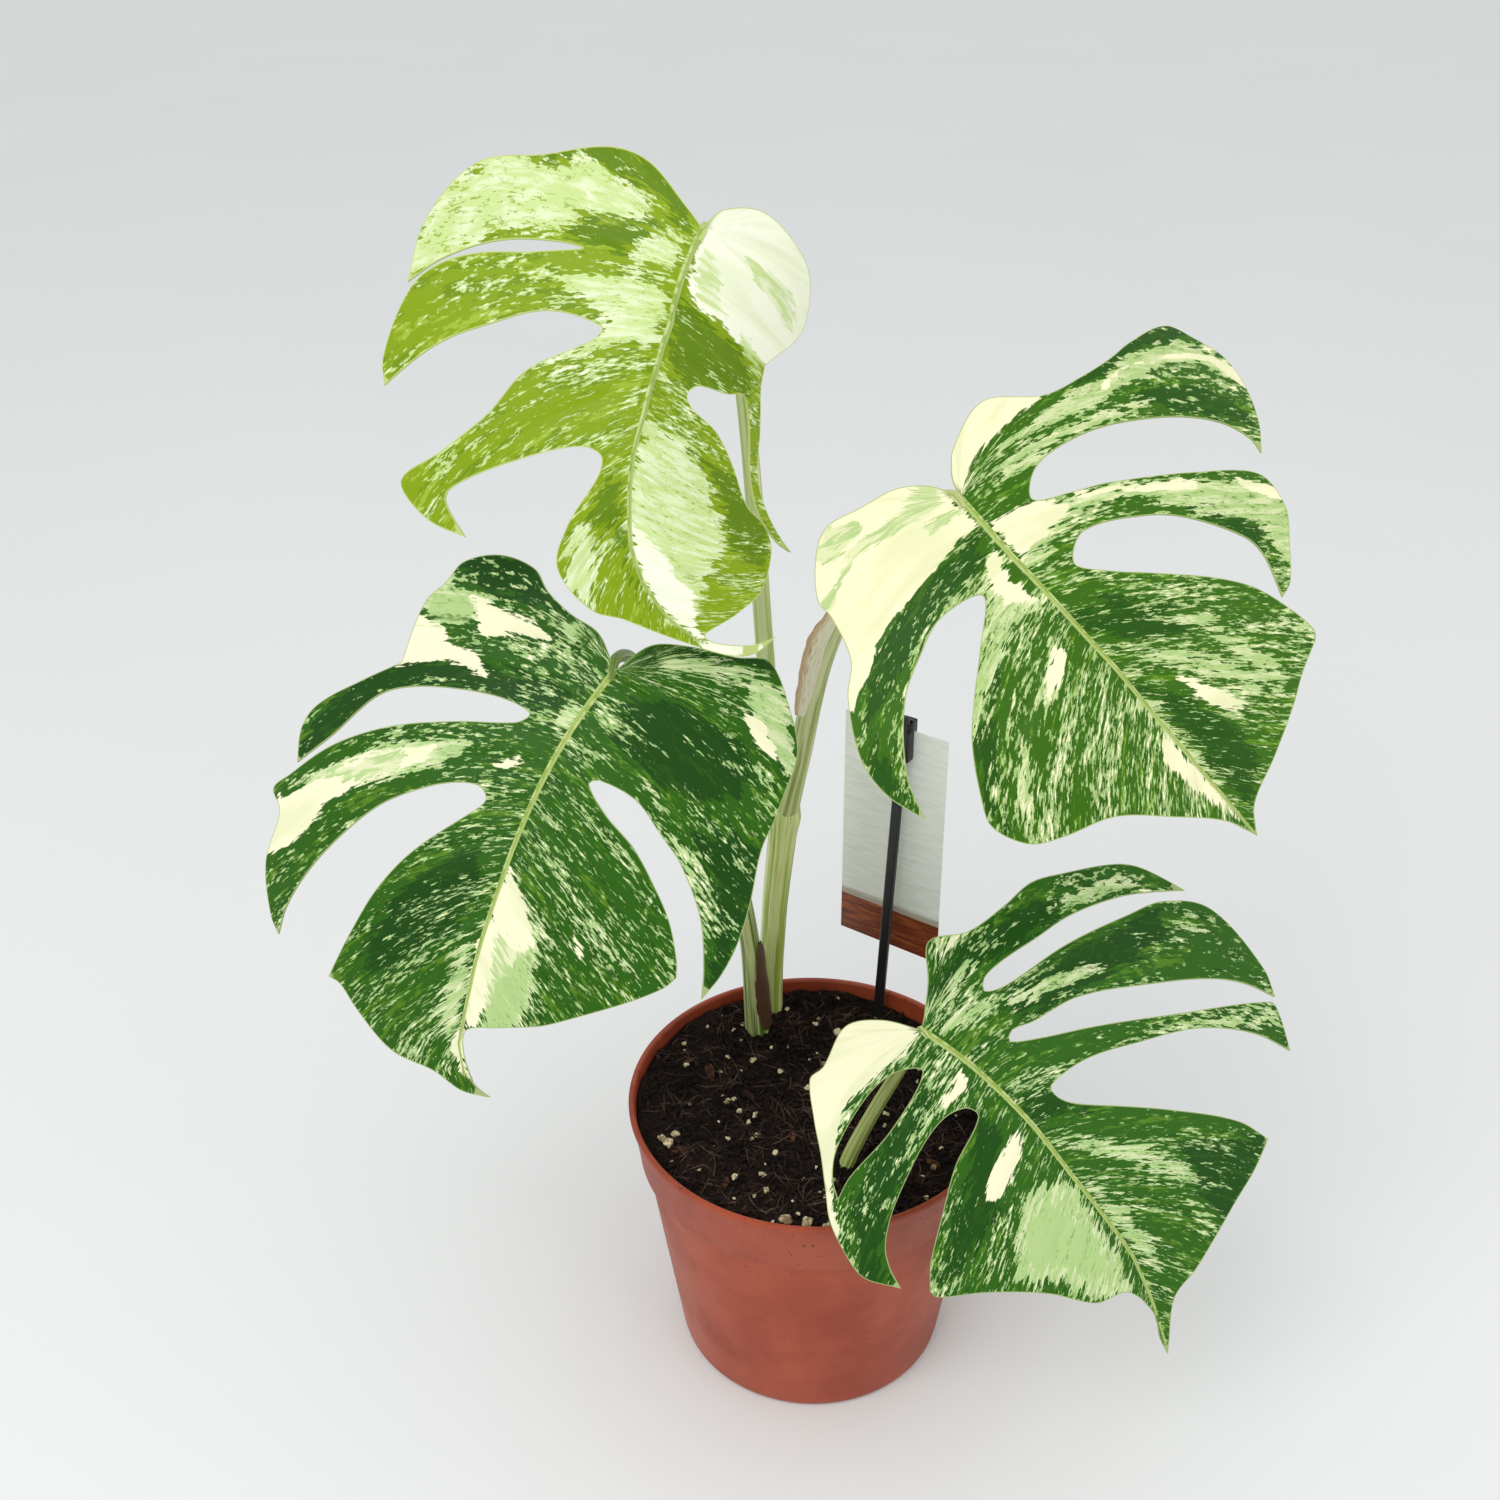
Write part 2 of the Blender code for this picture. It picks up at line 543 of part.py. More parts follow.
def build_label():
    """The card, and the stake with a clip that grips the card's top edge."""
    black = material("black_plastic", BLACK, 0.4)
    stake = stake_box("label_stake", 0.0, black)
    card = box(
        "label_card",
        (CARD_WIDTH, CARD_THICKNESS, CARD_HEIGHT),
        (CARD_WIDTH / 2, 0.0, CARD_HEIGHT / 2),
        material("printed_card", CARD_WHITE, 0.6),
    )
    card.data.transform(card_place())
    local_top = card_place().inverted() @ (Vector(STAKE_TOP) * MM) / MM
    grip_front = (local_top.y - STAKE_DEPTH / 2 + 0.2, -CARD_THICKNESS / 2 - GAP)
    grip_back = (CARD_THICKNESS / 2 + GAP, CARD_THICKNESS / 2 + GAP + 1.6)
    roof = (CARD_HEIGHT + GAP, CARD_HEIGHT + 5.5)
    for name, depths, heights in (
        ("clip_front", grip_front, (roof[1] - CLIP_DROP, roof[1])),
        ("clip_back", grip_back, (roof[1] - CLIP_DROP, roof[1])),
        ("clip_roof", (grip_front[0], grip_back[1]), roof),
    ):
        part = box(
            name,
            (STAKE_WIDTH + 1.4, depths[1] - depths[0], heights[1] - heights[0]),
            (local_top.x - 0.1, sum(depths) / 2, sum(heights) / 2),
            None,
        )
        part.data.transform(card_place())
        part.hide_render = True
        part.display_type = "WIRE"
        join = stake.modifiers.new("join_" + name, "BOOLEAN")
        join.operation = "UNION"
        join.solver = "EXACT"
        join.object = part
    apply_modifiers(stake)


def build():
    clear_scene()
    build_pot()
    build_soil()
    build_stems()
    build_leaf("leaf_top", LEAF_TOP, YOUNG_GREEN)
    build_leaf("leaf_left", LEAF_LEFT, LEAF_GREEN)
    build_leaf("leaf_right", LEAF_RIGHT, LEAF_GREEN)
    build_leaf("leaf_low", LEAF_LOW, LEAF_GREEN)
    sheath(
        "left_petiole_sheath", [(-25.8, 53.8, 133.5), (-27, 52.4, 155), (-29.2, 49.8, 188)], [5.6, 5.2, 4.7],
        (-80, 50), 3.0, DRY_BROWN,
    )
    sheath(
        "right_petiole_sheath", [(-0.9, 53, 309), (6, 40, 351), (17, 26.5, 383)], [4.7, 4.4, 4.0],
        (250, 180), 5.0, CREAM,
    )
    build_label()


build()
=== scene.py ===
import math
import random

import bmesh
import bpy
import numpy as np
from bpy.props import FloatProperty, FloatVectorProperty, IntProperty, PointerProperty, StringProperty
from mathutils import Matrix, Vector, noise
from mathutils.geometry import delaunay_2d_cdt


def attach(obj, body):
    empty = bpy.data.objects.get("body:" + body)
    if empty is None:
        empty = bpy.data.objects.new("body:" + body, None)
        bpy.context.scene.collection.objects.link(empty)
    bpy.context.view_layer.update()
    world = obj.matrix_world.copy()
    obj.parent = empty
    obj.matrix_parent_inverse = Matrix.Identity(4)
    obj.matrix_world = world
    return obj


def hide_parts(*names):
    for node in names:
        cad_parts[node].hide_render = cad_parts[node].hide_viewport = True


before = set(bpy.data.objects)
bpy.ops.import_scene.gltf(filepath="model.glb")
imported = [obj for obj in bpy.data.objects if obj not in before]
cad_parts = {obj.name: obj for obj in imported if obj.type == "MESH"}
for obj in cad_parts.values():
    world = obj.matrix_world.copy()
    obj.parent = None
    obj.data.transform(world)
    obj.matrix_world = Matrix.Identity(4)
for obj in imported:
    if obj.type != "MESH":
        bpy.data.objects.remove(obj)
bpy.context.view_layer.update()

bl_info = {
    "name": "Potted Variegated Monstera",
    "version": (1, 0, 0),
    "blender": (4, 5, 0),
    "location": "View3D > Sidebar > Monstera",
    "description": "Models a young variegated monstera in its nursery pot, with a blank care label",
    "category": "Add Mesh",
}

MM = 0.001
TIP = True

# The camera stands in front of the plant and looks down on it.
CAMERA_PLACE = (-27.717, -610.889, 686.582)
CAMERA_PITCH = math.radians(30.844)
CAMERA_ROLL = math.radians(0.511)
CAMERA_LENS = 42.0

# Pot profile: (radius, height) from the middle of the inner floor, over the rim, to the underside.
POT_PROFILE = [
    (0.0, 2.4), (20.0, 2.4), (58.4, 2.4), (61.4, 5.4), (76.3, 106.9), (76.4, 107.5), (78.9, 110.4),
    (79.1, 111.2), (81.9, 134.6), (82.2, 137.2), (82.9, 138.0), (84.2, 138.0), (84.8, 137.7),
    (85.0, 137.0), (85.0, 136.1),
    (84.6, 135.7), (83.7, 135.4), (83.5, 134.8), (80.7, 110.2), (80.3, 109.2), (79.6, 109.0), (78.2, 108.5),
    (77.9, 107.8), (77.8, 106.5), (63.7, 4.4), (63.2, 2.0), (61.9, 0.4), (61.0, 0.0), (0.0, 0.0),
]

# Each leaf: where the blade meets its stem, the midrib's first direction, the upper face's
# direction, the midrib's length and bends (radians), each half's fold and curl per mm, and the
# midrib's own line. All (along, across) pairs are mm from the junction, with the tip ahead.
# The lateral veins leave the midrib at a slope that grows by gain per mm, and bow by curve.
# cream, mint and deep are the patches of each tone, and blotch is mint that shows through cream.
LEAVES = {
    "top": {
        "junction": (-42.8, 20.0, 526.7), "along": (-0.562, -0.460, -0.687),
        "face": (-0.030, -0.819, 0.573),
        "length": 157.9, "bow": 0.50, "swing": 1.10, "left": (0.04, 0.0032), "right": (0.42, 0.0125),
        "outline": [
            (0, 0, TIP), (-3, -8), (-9, -30), (-7, -46), (4, -68), (13, -92), (29, -102), (44, -101, TIP),
            (37, -89), (29, -69), (24, -47), (23, -36),
            (29, -55), (33, -74), (38, -89), (45, -99), (62, -106), (68, -104, TIP), (57, -82), (50, -62),
            (43, -40), (44, -19),
            (49, -22), (61, -45), (73, -58), (83, -78), (90, -97), (99, -88), (105, -72, TIP), (95, -78),
            (92, -74), (86, -48), (82, -22), (85, -14),
            (92, -16), (107, -31), (118, -38), (133, -31), (140, -20), (157, -3), (176, 13), (180, 27, TIP),
            (173, 16), (158, 4), (159, 20), (158, 35), (144, 50), (129, 51), (116, 45), (94, 41), (76, 33),
            (65, 20), (60, 18),
            (56, 22), (56, 37), (54, 44), (64, 49), (80, 51), (100, 50), (118, 50), (132, 52), (144, 55),
            (155, 60, TIP), (140, 58), (124, 56), (108, 55), (92, 56), (76, 58), (62, 57), (48, 54),
            (34, 52, TIP),
            (9, 64), (-6, 63), (-21, 50), (-25, 39), (-22, 15), (-10, 2),
        ],
        "holes": [],
        "midrib": [
            (0, 0), (20, 2.5), (36, 5), (55, 4), (70, 2), (85, -2), (100, -5), (116, -8), (130, -8),
            (144, -5), (158, 1), (172, 14),
        ],
        "veins": (-0.10, 0.0075, 0.0016),
        "cream": [
            [
                (3, 2), (-10, 0), (-28, 15), (-29, 40), (-22, 54), (-6, 68), (9, 68), (35, 56), (31, 44),
                (31, 34), (27, 24), (27, 12), (22, 6),
            ],
            [
                (108, -6), (122, -7), (138, -6), (150, -2), (158, 2), (150, 5), (140, 9), (132, 5),
                (124, 3), (114, -1),
            ],
            [(156, 0), (160, 6), (170, 14), (182, 30), (176, 10), (164, 2)],
        ],
        "mint": [
            [(1, -22), (0, -50), (7, -68), (9, -84), (16, -99), (28, -106), (45, -104), (36, -90),
             (29, -68), (24, -52),
             (14, -40), (9, -26), (5, -18)],
            [(8, -2), (6, -10), (14, -20), (21, -18), (19, -10), (20, -2)],
            [
                (24, -3), (25, -14), (29, -28), (33, -38), (40, -22), (43, -17), (50, -22), (57, -38),
                (52, -20), (48, -8), (46, 1), (34, 2),
            ],
            [(70, 3), (76, 10), (80, 18), (90, 24), (105, 29), (118, 31), (128, 27), (134, 20),
             (142, 14), (150, 6),
             (150, -3), (138, -6), (124, -8), (108, -7), (95, -4), (82, 0)],
            [(106, -26), (116, -34), (122, -37), (131, -30), (124, -24), (112, -20)],
        ],
        "deep": [
            [
                (2, -4), (-8, -10), (-12, -30), (-9, -48), (3, -68), (8, -82), (5, -66), (-1, -48),
                (-1, -34), (0, -20), (4, -8),
            ],
            [(9, -14), (14, -40), (20, -46), (22, -36), (20, -22), (10, -12)],
            [(28, 6), (30, 24), (32, 34), (40, 44), (56, 48), (56, 30), (60, 18), (50, 8), (40, 6)],
            [(84, 22), (100, 42), (116, 50), (140, 52), (150, 40), (130, 30), (110, 34), (94, 28)],
            [(92, -12), (104, -22), (112, -12), (128, -12), (108, -9), (96, -7)],
        ],
        "blotch": [
            [(-3, 20), (-7, 32), (-7, 46), (-4, 55), (6, 59), (6, 50), (2, 40), (2, 30)],
            [(5, 5), (12, 14), (22, 24), (24, 12), (14, 6)],
            [(27, 34), (30, 44), (36, 52), (44, 53), (38, 44), (32, 36)],
        ],
        "tones": ("#809A10", "#587A08", "#C2D68E", "#EFF1DA", "#A0B83C"),
        "streaks": 0.857,
        "seed": 3.0,
    },
    "left": {
        "junction": (-79.1, -20.0, 369.9), "along": (-0.589, -0.505, -0.631),
        "face": (-0.092, -0.734, 0.673),
        "length": 174.7, "bow": 0.50, "swing": 0.45, "left": (-0.02, 0.0040), "right": (0.05, 0.0050),
        "outline": [
            (0, 0, TIP), (-8, -14), (-8, -28), (-10, -42), (-14, -53), (-11, -70), (-2, -82), (7, -83),
            (16, -86), (38, -80, TIP), (50, -94), (65, -111), (74, -114), (85, -109, TIP), (71, -96),
            (52, -83),
            (44, -71), (36, -50), (31, -31), (31, -19),
            (36, -22), (46, -44), (59, -71), (74, -94), (90, -111), (97, -118), (103, -110), (121, -111),
            (138, -102), (143, -96, TIP), (133, -94), (119, -87), (103, -76), (86, -62), (76, -50),
            (67, -36),
            (63, -24), (66, -19),
            (71, -21), (96, -41), (113, -51), (130, -58), (150, -66, TIP), (151, -60), (158, -51),
            (170, -33),
            (174, -14), (180, -2), (181, 10, TIP), (176, 3), (155, -2), (150, 12), (146, 27), (141, 37),
            (128, 58), (117, 71), (110, 75, TIP), (101, 73), (85, 66), (73, 57), (59, 42), (51, 26),
            (43, 15),
            (40, 18),
            (40, 34), (48, 48), (57, 61), (77, 76), (101, 84), (119, 87, TIP), (103, 92), (83, 94),
            (59, 92),
            (31, 86), (13, 84), (-12, 79, TIP), (-22, 75), (-33, 64), (-44, 44), (-35, 33), (-25, 16),
            (-16, 5),
        ],
        "holes": [],
        "midrib": [
            (0, 0), (30, -1.5), (60, -1.5), (90, -1), (120, -2), (145, -3), (160, -4), (172, -1), (180, 8),
        ],
        "veins": (-0.16, 0.0085, 0.0032),
        "cream": [
            [(4, -28), (2, -40), (5, -58), (5, -70), (11, -63), (16, -54), (10, -44), (7, -34)],
            [
                (20, -88), (20, -74), (24, -66), (22, -54), (27, -44), (27, -56), (31, -66), (37, -76),
                (40, -84),
            ],
            [
                (58, -48), (63, -60), (74, -80), (86, -93), (96, -106), (98, -114), (118, -112), (112, -98),
                (104, -92), (92, -85), (80, -72), (71, -60), (64, -50),
            ],
            [
                (86, 0), (90, 4), (96, 10), (104, 15), (112, 18), (120, 12), (132, 8), (148, 3), (156, -2),
                (148, -3), (130, -3), (110, -2), (98, -1),
            ],
            [(-18, 50), (-21, 57), (-15, 68), (-11, 73), (-10, 64), (-13, 54)],
            [(98, 27), (104, 32), (116, 36), (110, 38), (102, 33)],
            [(47, -12), (51, -16), (54, -21), (50, -19)],
            [(152, -4), (160, -8), (170, -3), (174, 2), (166, -1), (158, -2)],
        ],
        "mint": [
            [(1, -60), (3, -76), (8, -88), (22, -90), (21, -80), (16, -68), (9, -60)],
            [(-6, -22), (-3, -34), (-6, -50), (-8, -62), (-5, -50), (-1, -34), (-1, -20)],
            [(50, -34), (56, -50), (66, -70), (84, -96), (94, -110), (90, -90), (78, -68), (64, -44)],
            [(98, 4), (104, 16), (114, 21), (126, 22), (138, 22), (150, 20), (154, 4), (140, 2), (120, 3)],
            [(-32, 44), (-38, 56), (-30, 68), (-20, 78), (-8, 82), (-12, 66), (-18, 54), (-24, 46)],
            [(-16, 12), (-26, 24), (-34, 38), (-38, 46), (-28, 40), (-18, 26), (-10, 14)],
            [(33, 32), (42, 48), (56, 62), (72, 72), (86, 82), (78, 80), (64, 70), (50, 58), (38, 44)],
            [(118, -8), (134, -12), (150, -14), (164, -8), (150, -4), (130, -4)],
            [(28, -2), (30, -8), (24, -6), (18, -2)],
            [(92, 36), (104, 50), (112, 60), (118, 62), (108, 48), (98, 36)],
        ],
        "deep": [
            [
                (-6, -16), (-10, -40), (-15, -55), (-10, -76), (0, -84), (1, -66), (-2, -50), (-3, -34),
                (-2, -20),
            ],
            [
                (16, -6), (22, -40), (30, -66), (38, -80), (60, -104), (80, -112), (84, -108), (60, -88),
                (44, -70), (34, -40), (26, -12),
            ],
            [(-14, 4), (-24, 16), (-36, 34), (-46, 44), (-42, 50), (-30, 30), (-16, 14), (-4, 6)],
            [(-6, 30), (-6, 60), (10, 70), (24, 60), (30, 40), (24, 14), (6, 12)],
            [(40, 60), (60, 76), (90, 86), (118, 88), (100, 94), (60, 93), (30, 88), (30, 76)],
            [(96, -8), (120, -16), (146, -48), (130, -50), (100, -34), (84, -14)],
        ],
        "blotch": [
            [(8, -62), (12, -80), (22, -88), (20, -74), (14, -62)],
            [(112, 4), (120, 18), (136, 20), (150, 18), (150, 6), (130, 5)],
            [(64, -60), (74, -76), (84, -92), (80, -74), (70, -60)],
        ],
        "tones": ("#295A0A", "#153F08", "#A9C680", "#EFEBC8", "#57801C"),
        "streaks": 0.857,
        "seed": 11.0,
    },
    "right": {
        "junction": (51.4, 0.0, 431.7), "along": (0.553, -0.662, -0.507), "face": (-0.050, -0.633, 0.772),
        "length": 169.6, "bow": 0.50, "swing": 0.25, "left": (0.05, 0.0045), "right": (0.0, 0.0038),
        "outline": [
            (0, 0, TIP), (-9, 3), (-19, 11), (-31, 33), (-21, 55), (-22, 74), (-26, 92), (-32, 107),
            (-38, 132),
            (-25, 141), (-8, 148), (9, 147), (26, 142), (43, 133), (56, 122, TIP), (46, 123), (31, 116),
            (18, 100), (8, 77), (4, 60), (4, 40), (8, 29), (17, 22),
            (23, 36), (28, 51), (46, 87), (64, 112), (85, 111), (100, 98), (112, 85), (114, 77, TIP),
            (95, 84),
            (83, 83), (61, 69), (49, 55), (39, 30), (47, 18),
            (56, 25), (70, 41), (87, 59), (102, 70), (120, 76), (135, 78), (138, 75, TIP), (142, 61),
            (148, 47),
            (155, 27), (161, 8), (170, 0, TIP), (157, -5), (142, -18), (127, -34), (120, -53), (114, -64),
            (101, -70), (91, -66), (74, -55), (62, -43), (51, -31), (36, -17),
            (33, -34), (39, -49), (48, -64), (68, -81), (84, -87, TIP), (69, -92), (54, -91), (34, -80),
            (24, -70), (8, -66), (-1, -66), (-16, -55), (-21, -46), (-19, -32), (-17, -17), (-10, -6),
        ],
        "holes": [],
        "midrib": [(0, 0), (30, 1), (60, 2.5), (90, 3), (120, 2), (150, 1), (168, 0)],
        "veins": (-0.18, 0.0095, 0.0036),
        "cream": [
            [(14, -2), (2, -3), (-8, -3), (-24, -16), (-28, -50), (-10, -72), (20, -76), (42, -84),
             (36, -76), (29, -64), (24, -52),
             (21, -40), (18, -26), (15, -14)],
            [
                (0, 2), (-10, 0), (-24, 8), (-38, 30), (-34, 46), (-26, 60), (-20, 53), (-17, 38),
                (-14, 24), (-8, 11),
            ],
            [(-10, 78), (-14, 84), (-18, 95), (-16, 110), (-13, 125), (-6, 137), (10, 142), (30, 142),
             (24, 152), (6, 152), (-10, 142), (-17, 128),
             (-19, 110), (-20, 96), (-15, 80)],
            [
                (15, 3), (16, 16), (20, 26), (26, 34), (33, 50), (42, 64), (52, 80), (48, 84), (38, 66),
                (28, 44), (22, 38), (30, 30), (32, 14), (34, 3), (26, 3),
            ],
            [(24, -3), (28, -8), (36, -14), (44, -12), (50, -3), (40, -4), (33, -4)],
            [(66, -9), (72, -17), (80, -25), (77, -14), (70, -7)],
            [(106, 19), (112, 24), (122, 29), (134, 33), (128, 25), (117, 20)],
            [(116, -1), (124, -6), (134, -7), (146, -4), (160, -1), (150, 1), (130, 1)],
            [(56, 100), (70, 112), (88, 116), (76, 107), (64, 100)],
        ],
        "mint": [
            [(-17, -36), (-20, -48), (-12, -58), (-8, -48), (-11, -36)],
            [
                (-7, -38), (-8, -20), (-13, -8), (-9, -3), (-3, -8), (-2, -22), (-5, -44), (1, -62),
                (5, -66), (-3, -50),
            ],
            [(-9, 25), (-12, 42), (-15, 58), (-18, 78), (-22, 92), (-27, 110), (-25, 132), (-14, 142),
             (0, 149), (15, 150), (5, 139), (-8, 131),
             (-11, 118), (-10, 100), (-8, 80), (-6, 56), (-6, 38)],
            [(16, 4), (18, 24), (26, 44), (42, 74), (62, 106), (80, 116), (98, 104), (112, 88),
             (100, 92), (86, 92), (72, 84), (60, 72),
             (46, 60), (38, 48), (32, 30), (36, 12), (36, 4)],
            [
                (24, -3), (30, -10), (36, -18), (42, -20), (52, -30), (62, -44), (74, -58), (70, -46),
                (62, -32), (54, -16), (50, -4),
            ],
            [(90, 6), (96, 16), (106, 26), (118, 34), (134, 38), (128, 44), (110, 36), (96, 24)],
            [(78, 24), (90, 34), (106, 46), (100, 47), (88, 38)],
            [(106, 42), (124, 52), (142, 56), (140, 47), (120, 44)],
            [(114, 60), (126, 70), (136, 78), (130, 78), (118, 68)],
            [(100, 1), (110, 6), (130, 5), (150, 3), (130, 0)],
            [(84, -40), (96, -52), (106, -60), (100, -50), (90, -40)],
            [(60, -3), (64, -10), (72, -20), (84, -30), (80, -20), (70, -8)],
            [(0, 8), (-3, 30), (-2, 60), (2, 90), (12, 112), (6, 96), (2, 60), (3, 30)],
        ],
        "deep": [
            [
                (-22, 66), (-28, 90), (-35, 110), (-42, 126), (-34, 138), (-26, 136), (-26, 112), (-21, 92),
                (-18, 70),
            ],
            [
                (16, -4), (20, -34), (30, -62), (44, -78), (80, -90), (60, -96), (50, -84), (38, -58),
                (32, -32), (28, -8),
            ],
            [(62, 4), (66, 20), (80, 34), (96, 40), (92, 26), (80, 12), (70, 4)],
            [(96, 3), (112, 16), (134, 24), (152, 20), (160, 6), (140, 6), (116, 6)],
            [(44, 68), (60, 70), (76, 80), (96, 84), (112, 78), (100, 86), (80, 92), (60, 82)],
            [(-6, 92), (4, 116), (20, 132), (40, 130), (30, 120), (14, 104), (4, 88)],
            [(60, -30), (76, -44), (100, -64), (112, -66), (96, -70), (74, -56)],
        ],
        "blotch": [
            [(-17, -36), (-21, -48), (-12, -58), (-7, -50), (-10, -36)],
            [
                (-9, -40), (-9, -20), (-15, -8), (-9, -3), (-2, -7), (-2, -22), (-5, -44), (1, -64),
                (8, -70), (-3, -52),
            ],
            [(2, -18), (3, -8), (6, -4), (5, -16)],
            [(-12, 92), (-14, 110), (-8, 130), (-4, 128), (-10, 110)],
        ],
        "tones": ("#356409", "#1F4C06", "#A9C47C", "#EFEAC2", "#628C1E"),
        "streaks": 0.837,
        "seed": 21.0,
    },
    "low": {
        "junction": (42.3, -49.7, 216.0), "along": (0.773, -0.426, -0.470), "face": (0.053, -0.695, 0.717),
        "length": 176.5, "bow": 0.50, "swing": -0.40, "left": (0.05, 0.0045), "right": (-0.02, 0.0035),
        "outline": [
            (0, 0, TIP), (-10, 18), (-19, 32), (-9, 46), (-4, 65), (-1, 83), (7, 98), (20, 120), (28, 128),
            (46, 137, TIP), (36, 121), (28, 107), (18, 83), (13, 63), (8, 44), (7, 34), (10, 30),
            (15, 38), (23, 70), (34, 102), (42, 123), (58, 141), (88, 143), (98, 138, TIP), (86, 128),
            (78, 119), (69, 106), (58, 88), (39, 56), (32, 34), (28, 25), (30, 21),
            (38, 31), (49, 49), (72, 87), (96, 131), (100, 135), (116, 127, TIP), (100, 114), (82, 91),
            (68, 63), (57, 39), (54, 20), (59, 19),
            (66, 23), (79, 37), (94, 54), (118, 80), (132, 89, TIP), (137, 74), (141, 58), (146, 43),
            (152, 27),
            (157, 12), (177, 0, TIP), (169, -1), (157, 1), (142, -5), (138, -19), (122, -34), (105, -55),
            (93, -73), (88, -74, TIP), (76, -66), (61, -49), (49, -32), (41, -11), (35, -12),
            (31, -21), (32, -34), (37, -49), (45, -65), (55, -76), (66, -81), (78, -83, TIP), (62, -92),
            (49, -92), (26, -86), (11, -76), (-2, -66), (-14, -57), (-27, -44), (-25, -37), (-27, -18),
            (-16, -7),
        ],
        "holes": [[
            (11, -13), (17, -40), (17, -66), (20, -76, TIP), (11, -71), (3, -60), (-1, -36), (2, -21),
        ]],
        "midrib": [(0, 0), (25, 2.5), (60, 3), (85, 2), (105, 3), (130, 4.5), (150, 3), (168, 1), (176, 0)],
        "veins": (-0.10, 0.0080, 0.0030),
        "cream": [
            [(1, -2), (-10, -2), (-27, -8), (-32, -18), (-30, -50), (-12, -62), (10, -82), (34, -94),
             (48, -94), (40, -89), (28, -84), (18, -78), (8, -67),
             (0, -58), (-5, -48), (-5, -36), (-3, -24), (1, -12)],
            [(55, -2), (58, -12), (62, -24), (70, -31), (74, -27), (68, -14), (61, -5)],
            [(22, -2), (24, -12), (25, -20), (29, -18), (30, -6), (27, -2)],
            [(-13, 28), (-12, 42), (-10, 36), (-11, 28)],
        ],
        "mint": [
            [(21, -2), (23, -14), (25, -26), (31, -44), (29, -24), (30, -12), (30, -4)],
            [
                (78, -10), (80, -20), (88, -30), (98, -38), (106, -42), (114, -34), (120, -28), (130, -22),
                (140, -12), (144, -2), (130, -1), (116, 0), (100, 0), (88, -1),
            ],
            [
                (6, 4), (12, 14), (16, 24), (24, 38), (34, 60), (40, 74), (34, 70), (26, 52), (18, 36),
                (12, 24), (4, 10),
            ],
            [(10, 80), (14, 96), (20, 112), (30, 124), (26, 108), (18, 92)],
            [(76, 84), (90, 106), (100, 122), (110, 132), (98, 133), (88, 114)],
            [(70, 4), (84, 16), (100, 28), (116, 40), (128, 52), (112, 44), (96, 32), (80, 18)],
            [(-4, 4), (-4, 20), (0, 40), (2, 30), (2, 10)],
            [(96, 6), (112, 12), (130, 16), (144, 12), (130, 6), (112, 5)],
            [(128, 38), (134, 44), (142, 50), (136, 42)],
            [(40, -62), (32, -74), (36, -70), (44, -56)],
            [(52, 118), (58, 124), (64, 130), (58, 120)],
        ],
        "deep": [
            [
                (14, -20), (18, -50), (30, -78), (60, -92), (78, -84), (56, -82), (38, -56), (28, -30),
                (20, -14),
            ],
            [
                (40, 4), (50, 14), (60, 40), (90, 84), (110, 120), (130, 90), (110, 74), (86, 48), (66, 20),
                (60, 4),
            ],
            [(110, 50), (130, 90), (138, 70), (146, 50), (130, 44)],
            [(-8, 8), (-8, 40), (4, 80), (14, 80), (8, 50), (0, 20)],
            [(16, 34), (22, 60), (36, 100), (42, 118), (50, 110), (44, 80), (34, 44), (26, 30)],
            [(34, -10), (48, -20), (76, -60), (92, -74), (80, -40), (76, -30), (52, -8)],
        ],
        "blotch": [
            [(88, -14), (92, -28), (106, -34), (120, -20), (130, -8), (110, -4)],
        ],
        "tones": ("#2C5E0E", "#17440A", "#A9C680", "#EFEBC8", "#588220"),
        "streaks": 0.857,
        "seed": 31.0,
    },
}

STEMS = {
    "main_stem": {
        "path": [
            (-15, 64, 98), (-18.5, 69.5, 132), (-16.5, 71.5, 190), (-12.6, 72, 234), (-11.6, 72, 243),
            (-11, 71.5, 250),
        ],
        "radii": [5.6, 5.8, 6.0, 6.6, 7.4, 6.2],
        "flat": 0.92,
        "replaces": ["main_stem"],
    },
    "petiole_left": {
        "path": [
            (-24, 56, 96), (-25.5, 54, 132), (-29, 50, 190), (-40, 38, 260), (-58, 20, 325), (-74, 3, 362),
            (-79, -14, 371.5), (-80.5, -22.5, 367),
        ],
        "radii": [5.8, 5.8, 4.6, 3.6, 3.1, 2.8, 2.2, 1.2],
        "flat": 1.0,
        "replaces": ["petiole_left"],
    },
    "petiole_right": {
        "path": [
            (-11.5, 71.5, 246), (-7, 64.5, 272), (6, 40, 351), (30, 16, 410), (45, 6, 428), (50.6, 1, 431),
            (53, -3, 428),
        ],
        "radii": [6.0, 5.2, 4.4, 3.6, 3.0, 2.2, 1.2],
        "flat": 1.0,
        "replaces": ["petiole_right"],
    },
    "petiole_top": {
        "path": [
            (-13.5, 72.5, 258), (-16.5, 71.5, 276), (-19, 66, 300), (-20.9, 60, 336), (-28.5, 50, 452),
            (-37, 36, 508), (-42, 23, 526), (-44.5, 18.5, 522.5),
        ],
        "radii": [3.6, 4.2, 4.2, 4.0, 3.4, 2.8, 2.1, 1.2],
        "flat": 1.0,
        "replaces": ["petiole_top"],
    },
    "petiole_low": {
        "path": [
            (7, -38, 100), (14.3, -35.7, 130), (23.6, -33, 152.3), (33.4, -32, 174), (41, -42, 203),
            (42.6, -48.6, 215), (45, -51, 213),
        ],
        "radii": [3.6, 3.5, 3.1, 2.9, 2.5, 2.0, 1.2],
        "flat": 1.0,
        "replaces": ["petiole_low"],
    },
}


